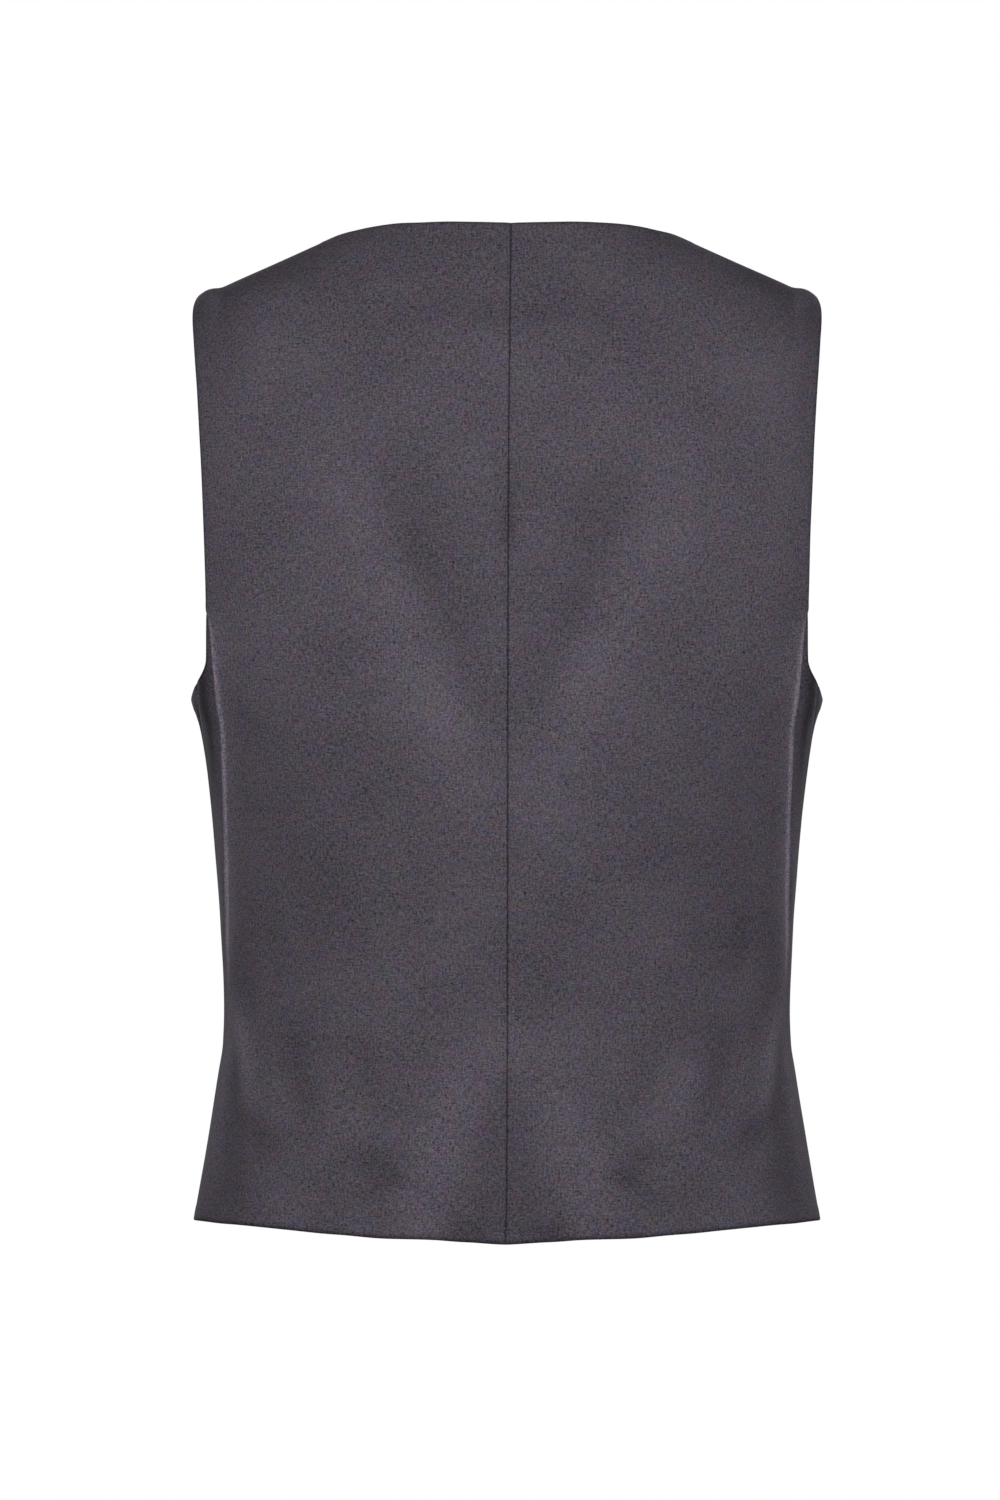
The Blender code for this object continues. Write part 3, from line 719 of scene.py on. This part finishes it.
def panel_block(left, right, bottom, top, across, along, behind):
    """A grid of flat pattern places between a panel's four divided sides."""
    left, right = left.copy(), right.copy()
    left[0], left[-1], right[0], right[-1] = bottom[0], top[0], bottom[-1], top[-1]
    flat = [to_pattern(line, behind) for line in (left, right, bottom, top)]
    return fill(*flat, across, along)


def joined(*lines):
    """Lines put end to end, each next one without its first point."""
    return np.concatenate([lines[0]] + [line[1:] for line in lines[1:]])


def upright(turn_of, low_drop, high_drop):
    """A line up the body, from the lower end to the upper one, at a turn given for each drop."""
    drop = np.linspace(low_drop, high_drop, FINE)
    return np.stack([turn_of(drop), drop], axis=-1)


def hem_drop(turn):
    return spline(columns(HEM, "turn", "drop"), turn)


def hem_line(from_turn, to_turn):
    turn = np.linspace(from_turn, to_turn, FINE)
    return np.stack([turn, hem_drop(turn)], axis=-1)


def hem_end(turn_of):
    """The drop at which a seam meets the hem."""
    drop = float(hem_drop(0.0))
    for _ in range(HEM_ROUNDS):
        drop = float(hem_drop(turn_of(np.array([drop]))[0]))
    return drop


def centre_back(drop):
    """The turn of the centre back seam. Sewn pieces meet here, without the solids' gap."""
    return np.zeros_like(drop)


def back_seam(drop):
    return spline(columns(BACK_SEAM, "drop", "turn"), drop)


def side_seam(drop):
    return spline(columns(SIDE_SEAM, "drop", "turn"), drop)


def shoulder(drop):
    return np.full_like(drop, 90.0)


def armhole_back(drop):
    return turn_at(taut(columns(ARMHOLE_BACK, "drop", "half"), drop), drop, True)


def front_edge(drop):
    return turn_at(taut(columns(FRONT_EDGE, "drop", "half"), drop), drop, False)


def underarm_and_front_armhole(start):
    """The armhole edge from the side seam under the arm and up the front to the shoulder tip."""
    rows = [start] + columns(UNDERARM, "turn", "drop")
    up_front = columns(ARMHOLE_FRONT, "drop", "half")
    rows += [(float(turn_at(half, drop, False)), drop) for drop, half in up_front]
    rows += [(90.0, SHOULDER_TIP_DROP)]
    rows = np.array(rows)
    pattern = to_pattern(rows, False)
    along = np.concatenate([[0], np.cumsum(np.linalg.norm(np.diff(pattern, axis=0), axis=1))])
    at = np.linspace(0, along[-1], 4 * FINE)
    turn = taut(np.stack([along, rows[:, 0]], axis=-1), at)
    drop = taut(np.stack([along, rows[:, 1]], axis=-1), at)
    return np.stack([turn, drop], axis=-1)


def shares_of(*pieces):
    """Shares of several lengths put end to end, from (length, shares) pairs."""
    whole = sum(length for length, _ in pieces)
    result, done = [np.zeros(1)], 0.0
    for length, shares in pieces:
        result.append((done + shares[1:] * length) / whole)
        done += length
    return np.concatenate(result)


def back_panel():
    """Blocks of the back, and its edges by kind."""
    seam_line = upright(back_seam, hem_end(back_seam), BACK_SEAM_TOP_DROP)
    arm_line = upright(armhole_back, BACK_SEAM_TOP_DROP, SHOULDER_TIP_DROP)
    tip_line = upright(shoulder, SHOULDER_TIP_DROP, NECK_CORNER_DROP)
    arm_line[0], arm_line[-1] = seam_line[-1], tip_line[0]
    parts = [
        (seam_line, graded(length_of(seam_line), True, False)),
        (arm_line, graded(length_of(arm_line), False, False)),
        (tip_line, graded(length_of(tip_line), False, True)),
    ]
    along = shares_of(*((length_of(line), shares) for line, shares in parts))
    right = joined(*(divide(line, shares) for line, shares in parts))
    (neck_top,) = columns(NECKLINE, "drop")[0]
    left = level_with(right, centre_back, hem_end(centre_back), neck_top)
    neck_turn = np.linspace(left[-1, 0], right[-1, 0], FINE)
    neck_drop = taut(columns(NECKLINE, "turn", "drop"), neck_turn)
    neck_line = np.stack([neck_turn, neck_drop], axis=-1)
    hem = hem_line(left[0, 0], right[0, 0])
    across = graded(length_of(hem), True, True)
    bottom, top = divide(hem, across), divide(neck_line, across)
    blocks = [panel_block(left, right, bottom, top, across, along, True)]
    middle = upright(centre_back, hem_end(centre_back), 0.0)
    edges = {
        "free": [hem, arm_line, neck_line],
        "seam": [middle, seam_line, tip_line],
        "middle": [middle],
        "ridge": [seam_line],
    }
    return blocks, edges


def side_panel():
    """The side body's block, and its edges by kind."""
    left = upright(back_seam, hem_end(back_seam), BACK_SEAM_TOP_DROP + SIDE_TOP_BLUNT)
    right = upright(side_seam, hem_end(side_seam), SIDE_SEAM_TOP_DROP)
    top = upright(armhole_back, BACK_SEAM_TOP_DROP + SIDE_TOP_BLUNT, SIDE_SEAM_TOP_DROP)
    top[-1] = right[-1]
    hem = hem_line(left[0, 0], right[0, 0])
    along = graded(length_of(right), True, True)
    across = graded(length_of(hem), True, True)
    rows = divide(left, along), divide(right, along), divide(hem, across), divide(top, across)
    blocks = [panel_block(*rows, across, along, True)]
    return blocks, {"free": [hem, top], "seam": [left, right], "sunk": [left]}


def front_panel():
    """Blocks of the front, below and above the underarm, and its edges by kind."""
    side_line = upright(side_seam, hem_end(side_seam), SIDE_SEAM_TOP_DROP)
    tip_line = upright(shoulder, SHOULDER_TIP_DROP, NECK_CORNER_DROP)
    arm = underarm_and_front_armhole(tuple(side_line[-1]))
    arm[-1] = tip_line[0]
    lowest = int(np.argmax(arm[:, 1]))
    turn_up = lowest + int(np.argmax(arm[lowest:, 1] < ARMHOLE_TURN_UP_DROP))
    parts = [
        (arm[turn_up:], graded(length_of(arm[turn_up:]), False, False)),
        (tip_line, graded(length_of(tip_line), False, True)),
    ]
    along = shares_of(*((length_of(line), shares) for line, shares in parts))
    right = joined(*(divide(line, shares) for line, shares in parts))
    left = level_with(right, front_edge, LAP_TOP_DROP, NECK_CORNER_DROP)
    left[-1] = right[-1]
    shared = np.linspace(left[0], right[0], FINE)
    across = graded(length_of(shared), True, True)
    shared_line = divide(shared, across)
    top = np.repeat(right[-1:], len(across), axis=0)
    upper = panel_block(left, right, shared_line, top, across, along, False)
    (point_drop,) = columns(FRONT_EDGE, "drop")[-1]
    edge_line = upright(front_edge, point_drop, LAP_TOP_DROP)
    under = arm[: turn_up + 1][::-1]
    under_across = graded(length_of(under), False, True)
    hem = hem_line(edge_line[0, 0], side_line[0, 0])
    wide = shares_of((length_of(shared), across), (length_of(under), under_across))
    high = graded(length_of(side_line), True, True)
    lower = panel_block(
        divide(edge_line, high),
        divide(side_line, high),
        divide(hem, wide),
        joined(shared_line, divide(under, under_across)),
        wide,
        high,
        False,
    )
    neck_edge = upright(front_edge, LAP_TOP_DROP, NECK_CORNER_DROP)
    free = [hem, edge_line, neck_edge, arm]
    return [lower, upper], {"free": free, "seam": [side_line, tip_line], "dart": [dart_line()]}


def dart_line():
    rows = columns(DART, "drop", "turn")
    drop = np.linspace(rows[0][0], rows[-1][0], FINE)
    return np.stack([spline(rows, drop), drop], axis=-1)


def sheet_of(blocks):
    """The places and cells of one sheet, with the blocks joined where they share a line."""
    every = np.concatenate([block.reshape(-1, 2) for block in blocks])
    _, first, index = np.unique(
        np.round(every, JOIN_DIGITS), axis=0, return_index=True, return_inverse=True
    )
    index = index.ravel()
    cells, start = [], 0
    for block in blocks:
        rows, count = block.shape[:2]
        grid = index[start : start + rows * count].reshape(rows, count)
        start += rows * count
        corners = np.stack([grid[:-1, :-1], grid[:-1, 1:], grid[1:, 1:], grid[1:, :-1]], axis=-1)
        cells += [tuple(dict.fromkeys(cell)) for cell in corners.reshape(-1, 4).tolist()]
    return every[first], [cell for cell in cells if len(cell) > 2]


def rim_edges(cells):
    """The directed edges that only one cell has: the sheet's cut edges."""
    edges = [(cell[k - 1], cell[k]) for cell in cells for k in range(len(cell))]
    there = set(edges)
    return [edge for edge in edges if (edge[1], edge[0]) not in there]


def ripple(at, seed, pitch):
    """A smooth uneven ripple along a line, about as high as one."""
    rng = np.random.default_rng(seed)
    total = np.zeros_like(at)
    for _ in range(RIPPLE_WAVES):
        phase = 2 * math.pi * at / (pitch * rng.uniform(*WAVE_PITCHES))
        height = rng.uniform(*WAVE_HEIGHTS)
        total += height * np.sin(phase + rng.uniform(0, 2 * math.pi))
    return total / RIPPLE_SUM


def crease_height(turn, drop, side):
    """How far the fine creases lift the cloth of one half."""
    height = np.zeros_like(turn)
    for owner, *spine, rise in columns(CREASES, *CREASES[0]):
        if owner in (0, side):
            height += rise * swelling(turn, drop, *spine)
    return height


def painted_band_shading(turn, drop):
    """How much lighter or darker the bands of painted light and shade make a place."""
    return sum(tone * swelling(turn, drop, *spine) for *spine, tone in columns(PAINTED_BANDS, *PAINTED_BANDS[0]))


def relief(turn, drop, side):
    """How far folds and creases lift one half's cloth from the smooth body."""
    folds = fold_height(turn, drop) + shoulder_lift(turn, drop)
    return folds + crease_height(turn, drop, side)


def surface(turn, drop, away, side, under, offset):
    """How far the shell's outer and inner faces lie from the smooth body, and the light and shade
    painted on the cloth.
    """
    lift = relief(turn, drop, side)
    slope = (relief(turn, drop + 1, side) - relief(turn, drop - 1, side)) / 2
    # painted light where the cloth turns up, painted shade where it turns down
    tone = 1 + SLOPE_PAINTED_SHADING * np.clip(slope, -STEEPEST, STEEPEST)
    # painted highlight on crests, painted shade in troughs
    tone += CREST_PAINTED_SHADING * (lift - shoulder_lift(turn, drop))
    if under:
        lift -= lap_depth(turn, drop)
    seed = RIPPLE_SEED + int(side) + PANEL_SEEDS * offset
    down, along = drop + RIPPLE_DOWN_LEAN * turn, turn * DEGREE_REACH
    lift += RIPPLE_DOWN * ripple(down, seed, RIPPLE_DOWN_PITCH)
    lift += RIPPLE_ROUND * ripple(along, seed + ROUND_SEED, RIPPLE_ROUND_PITCH)

    off_edge = np.clip(away["free"] / SEAM_FADE, 0, 1)
    outer = lift + SEAM_ROLL * bell(away["seam"], SEAM_ROLL_AT, SEAM_ROLL_REACH)
    outer -= SEAM_DIP * off_edge * bell(away["seam"], 0.0, SEAM_DIP_REACH)
    outer -= SEAM_PRESS * off_edge * bell(away["seam"], 0.0, SEAM_PRESS_REACH)
    tone *= 1 - SEAM_SHADE * bell(away["seam"], 0.0, SEAM_DIP_REACH)
    if "sunk" in away:
        outer -= SUNK * off_edge * bell(away["sunk"], 0.0, SUNK_REACH)
    if "middle" in away:
        pucker = ripple(drop, seed + PUCKER_SEED, PUCKER_PITCH)
        outer += PUCKER * pucker * np.exp(-away["middle"] / PUCKER_REACH)
    if "ridge" in away:
        outer += RIDGE * value_at(RIDGE_SPAN, drop) * bell(away["ridge"], RIDGE_AT, RIDGE_REACH)
        # painted highlight along the back's pressed edge at its seam, with a weaker painted glow
        # round it
        highlight_away = value_at(SEAM_HIGHLIGHT_AT, drop)
        reach = np.minimum(SEAM_HIGHLIGHT_SPREAD * highlight_away, SEAM_HIGHLIGHT_REACH_MOST)
        painted_highlight = SEAM_PAINTED_HIGHLIGHT * bell(away["ridge"], highlight_away, reach)
        painted_highlight += SEAM_PAINTED_GLOW * bell(away["ridge"], highlight_away, SEAM_PAINTED_GLOW_REACH)
        tone += value_at(SEAM_HIGHLIGHT_SPAN, drop) * painted_highlight
    if "dart" in away:
        outer -= DART_DIP * bell(away["dart"], 0.0, DART_REACH)
        tone *= 1 - DART_SHADE * bell(away["dart"], 0.0, DART_REACH)
    # bands of painted light and shade
    tone += painted_band_shading(turn, drop)
    tone *= 1 - EDGE_SHADE * bell(away["free"], 0.0, EDGE_SHADE_REACH)

    half_wall = WALL / 2
    near = np.clip(half_wall - away["free"], 0, half_wall)
    turned = np.minimum(half_wall - np.sqrt(half_wall**2 - near**2), EDGE_ROUND * half_wall)
    band = smooth_step(np.clip((EDGE_BAND_WIDTH - away["free"]) / EDGE_BAND_STEP, 0, 1))
    outer += EDGE_BAND * band - turned
    return outer, lift - WALL + turned, tone


def new_piece(name, points, faces, material):
    """A piece of the part's own material slot, from points in metres."""
    mesh = bpy.data.meshes.new(name)
    mesh.from_pydata(points, [], faces)
    mesh.materials.append(material)
    mesh.shade_smooth()
    piece = bpy.data.objects.new(name, mesh)
    bpy.context.scene.collection.objects.link(piece)
    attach(piece, "root")
    return piece


def cloth_shell(name, panel, behind, side, under, offset, material):
    """One piece of cloth as a closed thin shell, with its painted light and shade and its weave
    kept on its points.
    """
    blocks, edges = panel
    places, cells = sheet_of(blocks)
    turn, drop = from_pattern(places, behind)
    body = body_point(turn, drop)
    normal = normal_of(body_point, turn, drop)
    away = {}
    for kind, lines in edges.items():
        parts = [nearest_distance(body, body_point(line[:, 0], line[:, 1])) for line in lines]
        away[kind] = np.min(parts, axis=0)
    outer, inner, tone = surface(turn, drop, away, side, under, offset)
    points = np.concatenate([body + outer[:, None] * normal, body + inner[:, None] * normal])
    points *= np.array([side, 1, 1])
    if "middle" in away:
        shift = taut(columns(ASKEW, "drop", "shift"), np.tile(drop, 2))
        points[:, 0] += shift * bell(points[:, 0], 0.0, ASKEW_REACH)
    count = len(body)
    faces = list(cells)
    faces += [tuple(corner + count for corner in reversed(cell)) for cell in cells]
    faces += [(b, a, a + count, b + count) for a, b in rim_edges(cells)]
    if side * (1 if behind else -1) > 0:  # so that the faces look outward
        faces = [tuple(reversed(face)) for face in faces]
    piece = new_piece(name, (points * MM).tolist(), faces, material)
    layer = np.full(count, PANEL_CLOTH * offset)
    grain = np.stack([places[:, 0] * side, places[:, 1], layer], axis=-1) * MM
    attribute = piece.data.attributes.new("cloth", "FLOAT_VECTOR", "POINT")
    attribute.data.foreach_set("vector", np.tile(grain, (2, 1)).astype(np.float32).ravel())
    # the painted light and shade, kept on the points
    shade = piece.data.attributes.new("tone", "FLOAT", "POINT")
    shade.data.foreach_set("value", np.tile(tone, 2).astype(np.float32))
    return piece


def cord_mesh(paths, radii, closed):
    """Round cords along paths, with one radius to each point of a path."""
    points, faces = [], []
    for path, radius in zip(paths, radii):
        count = len(path)
        if closed:
            ahead, back = np.roll(path, -1, 0), np.roll(path, 1, 0)
        else:
            ahead = np.concatenate([path[1:], path[-1:]])
            back = np.concatenate([path[:1], path[:-1]])
        first = len(points)
        for k in range(count):
            along = Vector(ahead[k] - back[k]).normalized()
            beside = along.orthogonal() if k == 0 else beside - beside.dot(along) * along
            beside.normalize()
            above = along.cross(beside)
            for angle in np.arange(CORD_SIDES) * 2 * math.pi / CORD_SIDES:
                turned = beside * math.cos(angle) + above * math.sin(angle)
                points.append(Vector(path[k]) + turned * float(radius[k]))
        for k in range(count if closed else count - 1):
            here, there = first + k * CORD_SIDES, first + (k + 1) % count * CORD_SIDES
            for m in range(CORD_SIDES):
                n = (m + 1) % CORD_SIDES
                faces.append((here + m, here + n, there + n, there + m))
        if not closed:
            faces.append(tuple(first + m for m in reversed(range(CORD_SIDES))))
            faces.append(tuple(first + (count - 1) * CORD_SIDES + m for m in range(CORD_SIDES)))
    return points, faces


def smooth_front(turn, drop):
    """The folded cloth without its fine creases, which the buttons sit on."""
    lift = fold_height(turn, drop) + shoulder_lift(turn, drop)
    return body_point(turn, drop) + lift[:, None] * normal_of(body_point, turn, drop)


def seat_of(drop, lift):
    """The frame on the front's centre line at a drop, z away from the cloth."""
    turn, level = np.array([180.0]), np.array([drop])
    normal = Vector(normal_of(smooth_front, turn, level)[0])
    seat = Vector(smooth_front(turn, level)[0]) + normal * lift
    return Matrix.Translation(seat) @ normal.to_track_quat("Z", "Y").to_matrix().to_4x4()


def button_thread(name, drop, material):
    """Two bars of three strands over a button, down through its holes to the cloth."""
    hole = BUTTON_HOLE_OFFSET * math.sqrt(0.5)
    bed = BUTTON_THICK - BUTTON_DISH + STRAND_RADIUS
    end = -BUTTON_SEAT - STRAND_RADIUS
    paths = []
    for bar in (-hole, hole):
        for strand in (-1, 0, 1):
            over = [
                (way * hole, bar + spread * strand * STRAND_PITCH, bed + rise)
                for way, spread, rise in columns(STRAND_PATH, "way", "spread", "rise")
            ]
            paths.append(np.array([(-hole, bar, end), *over, (hole, bar, end)]))
    radii = [np.full(len(path), STRAND_RADIUS) for path in paths]
    points, faces = cord_mesh(paths, radii, False)
    seat = seat_of(drop, BUTTON_SEAT)
    new_piece(name, [(seat @ point) * MM for point in points], faces, material)


def buttonhole(name, drop, material):
    """The stitched ring of a buttonhole, from just past its button toward the side seam."""
    share = np.arange(HOLE_POINTS) / HOLE_POINTS
    angle = 2 * math.pi * share
    straight = HOLE_LENGTH / 2 - HOLE_HALF_WIDTH
    x = HOLE_MIDDLE + straight * np.clip(HOLE_SQUARE * np.cos(angle), -1, 1)
    x += HOLE_HALF_WIDTH * np.cos(angle)
    y = HOLE_HALF_WIDTH * np.clip(HOLE_SQUARE * np.sin(angle), -1, 1)
    turn = 180 + x / DEGREE_REACH
    level = drop - y
    path = smooth_front(turn, level) + HOLE_LIFT * normal_of(smooth_front, turn, level)
    path *= np.array([RIGHT, 1, 1])
    radius = HOLE_STITCH * (1 + HOLE_STITCH_WAVE * np.cos(math.pi * np.arange(HOLE_POINTS)))
    points, faces = cord_mesh([path], [radius], True)
    new_piece(name, [point * MM for point in points], faces, material)


class Nodes:
    """Builds a material's nodes: each call adds one and links or sets its inputs."""

    def __init__(self, name):
        self.material = bpy.data.materials.new(name)
        self.material.use_nodes = True
        self.tree = self.material.node_tree
        self.shader = self.tree.nodes["Principled BSDF"]

    def put(self, socket, value):
        if isinstance(value, bpy.types.NodeSocket):
            self.tree.links.new(value, socket)
        else:
            socket.default_value = value

    def add(self, kind, inputs=(), output=0, **settings):
        node = self.tree.nodes.new("ShaderNode" + kind)
        for key, value in settings.items():
            setattr(node, key, value)
        for key, value in dict(inputs).items():
            self.put(node.inputs[key], value)
        return node.outputs[output]

    def math(self, operation, *values):
        return self.add("Math", dict(enumerate(values)), operation=operation)

    def noise(self, vector, scale, detail, roughness, output=0):
        inputs = {"Vector": vector, "Scale": scale, "Detail": detail, "Roughness": roughness}
        return self.add("TexNoise", inputs, output, noise_dimensions="3D")

    def stretched(self, vector, x, y, z=1.0):
        return self.add("VectorMath", {0: vector, 1: (x, y, z)}, operation="MULTIPLY")

    def ramp(self, factor, *stops):
        node = self.tree.nodes.new("ShaderNodeValToRGB")
        self.put(node.inputs[0], factor)
        elements = node.color_ramp.elements
        while len(elements) < len(stops):
            elements.new(0.5)
        for element, (place, colour) in zip(elements, stops):
            element.position = place
            element.color = (*colour, 1)
        return node.outputs[0]

    def tinted(self, colour, factor):
        """A colour made lighter or darker by a factor from nodes."""
        grey = self.add("CombineXYZ", {0: factor, 1: factor, 2: factor})
        return self.add("VectorMath", {0: colour, 1: grey}, operation="MULTIPLY")


def suiting_material():
    """Melange worsted wool: crossing threads, speckled fibres, and tints that drift, made lighter
    and darker by the light and shade painted on the cloth.
    """
    n = Nodes("suiting")
    cloth = n.add("Attribute", attribute_name="cloth", output=1)
    mm = n.add("VectorMath", {0: cloth, "Scale": 1000.0}, operation="SCALE")
    warp = n.noise(n.stretched(mm, THREAD_FINE, WARP_LONG), *THREAD_NOISE)
    weft = n.noise(n.stretched(mm, WEFT_LONG, THREAD_FINE), *THREAD_NOISE)
    fibre = n.noise(mm, *FIBRE_NOISE)
    cloud = n.noise(mm, *CLOUD_NOISE)
    tint = n.noise(mm, *TINT_NOISE, output=1)
    tint = n.add("VectorMath", {0: tint, 1: (0.5, 0.5, 0.5)}, operation="SUBTRACT")
    spread = {0: tint, 1: TINT_CONTRAST, 2: (1.0, 1.0, 1.0)}
    tint = n.add("VectorMath", spread, operation="MULTIPLY_ADD")
    colour = n.add("VectorMath", {0: tint, 1: WOOL}, operation="MULTIPLY")
    light = n.math("MULTIPLY", n.math("SUBTRACT", warp, 0.5), WARP_CONTRAST)
    light = n.math("MULTIPLY_ADD", n.math("SUBTRACT", weft, 0.5), WEFT_CONTRAST, light)
    light = n.math("MULTIPLY_ADD", n.math("SUBTRACT", fibre, 0.5), FIBRE_CONTRAST, light)
    light = n.math("MULTIPLY_ADD", n.math("SUBTRACT", cloud, 0.5), CLOUD_CONTRAST, light)
    light = n.math("ADD", light, 1.0)
    # the painted light and shade kept on the cloth's points lighten or darken the colour
    light = n.math("MULTIPLY", light, n.add("Attribute", attribute_name="tone", output=2))
    light = n.math("MAXIMUM", light, DARKEST)
    n.put(n.shader.inputs["Base Color"], n.tinted(colour, light))
    rough = n.math("MULTIPLY_ADD", fibre, WOOL_ROUGHNESS_SPREAD, WOOL_ROUGHNESS)
    n.put(n.shader.inputs["Roughness"], rough)
    n.shader.inputs["Specular IOR Level"].default_value = WOOL_SPECULAR
    height = n.math("ADD", warp, weft)
    bump = n.add("Bump", {"Strength": WEAVE_BUMP, "Distance": WEAVE_DEPTH, "Height": height})
    n.put(n.shader.inputs["Normal"], bump)
    return n.material


def mottled_material(name, stops, noise, roughness, spread=0.0):
    """A plain material whose colour drifts between two stops."""
    n = Nodes(name)
    mottle = n.noise(n.add("TexCoord", output=3), *noise)
    n.put(n.shader.inputs["Base Color"], n.ramp(mottle, *stops))
    if spread:
        roughness = n.math("MULTIPLY_ADD", mottle, spread, roughness)
    n.put(n.shader.inputs["Roughness"], roughness)
    return n.material


def add_floor():
    mesh = bpy.data.meshes.new("floor")
    angles = [2 * math.pi * k / FLOOR_SIDES for k in range(FLOOR_SIDES)]
    corners = [
        (FLOOR_RADIUS * math.cos(angle), FLOOR_RADIUS * math.sin(angle), FLOOR_HEIGHT)
        for angle in angles
    ]
    mesh.from_pydata(corners, [], [tuple(range(FLOOR_SIDES))])
    mesh.materials.append(mottled_material("floor", *FLOOR))
    floor = bpy.data.objects.new("floor", mesh)
    bpy.context.scene.collection.objects.link(floor)


def add_world():
    """A world that is plain white to the camera and dim as light."""
    world = bpy.data.worlds.new("studio")
    bpy.context.scene.world = world
    world.use_nodes = True
    tree = world.node_tree
    seen = tree.nodes["Background"]
    lit = tree.nodes.new("ShaderNodeBackground")
    for background, strength in ((seen, 1.0), (lit, WORLD_FILL)):
        background.inputs["Color"].default_value = (1, 1, 1, 1)
        background.inputs["Strength"].default_value = strength
    mix = tree.nodes.new("ShaderNodeMixShader")
    path = tree.nodes.new("ShaderNodeLightPath")
    tree.links.new(path.outputs["Is Camera Ray"], mix.inputs[0])
    tree.links.new(lit.outputs[0], mix.inputs[1])
    tree.links.new(seen.outputs[0], mix.inputs[2])
    tree.links.new(mix.outputs[0], tree.nodes["World Output"].inputs["Surface"])


def add_lights():
    """Four soft boxes, two behind and two in front."""
    turn = math.radians(BOX_TURN)
    across, along = BOX_REACH * math.sin(turn), BOX_REACH * math.cos(turn)
    for number, (hand, end) in enumerate(((1, 1), (-1, 1), (1, -1), (-1, -1)), 1):
        lamp = bpy.data.lights.new(f"box_{number}", "AREA")
        lamp.shape = "DISK"
        lamp.size = BOX_SIZE
        lamp.energy = BOX_POWER
        light = bpy.data.objects.new(f"box_{number}", lamp)
        bpy.context.scene.collection.objects.link(light)
        light.location = hand * across, end * along, BOX_HEIGHT
        aim = Vector(BOX_AIM) - light.location
        light.rotation_euler = aim.to_track_quat("-Z", "Y").to_euler()
        light.visible_camera = False


def add_camera():
    """The photo's camera, level and straight behind."""
    data = bpy.data.cameras.new("camera")
    data.sensor_fit = "AUTO"
    data.sensor_width = CAMERA_SENSOR
    data.lens = CAMERA_LENS
    data.dof.use_dof = False
    data.clip_end = CAMERA_FAR
    camera = bpy.data.objects.new("camera", data)
    bpy.context.scene.collection.objects.link(camera)
    camera.location = CAMERA_PLACE
    camera.rotation_euler = (math.pi / 2, 0, math.pi)
    bpy.context.scene.camera = camera


def main():
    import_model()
    add_floor()
    add_world()
    add_lights()
    add_camera()
    bpy.context.scene.view_settings.view_transform = "Standard"
    wool = suiting_material()
    for name, make, behind, offset, (width, length, area) in (
        ("back", back_panel, True, 0, BACK_CUT),
        ("side", side_panel, True, 1, SIDE_CUT),
        ("front", front_panel, False, 2, FRONT_CUT),
    ):
        panel = make()
        for hand, side in (("left", LEFT), ("right", RIGHT)):
            under = name == "front" and side == LEFT
            piece = cloth_shell(f"{name}_{hand}_cloth", panel, behind, side, under, offset, wool)
            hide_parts(f"{name}_{hand}")
    resin = mottled_material("button_resin", *RESIN, RESIN_ROUGHNESS_SPREAD)
    thread = mottled_material("thread", *THREAD)
    for number, drop in enumerate(BUTTON_DROPS, 1):
        for slot in bpy.data.objects[f"button_{number}"].material_slots:
            slot.material = resin
        button_thread(f"button_{number}_thread", drop, thread)
        buttonhole(f"buttonhole_{number}", drop, thread)


main()
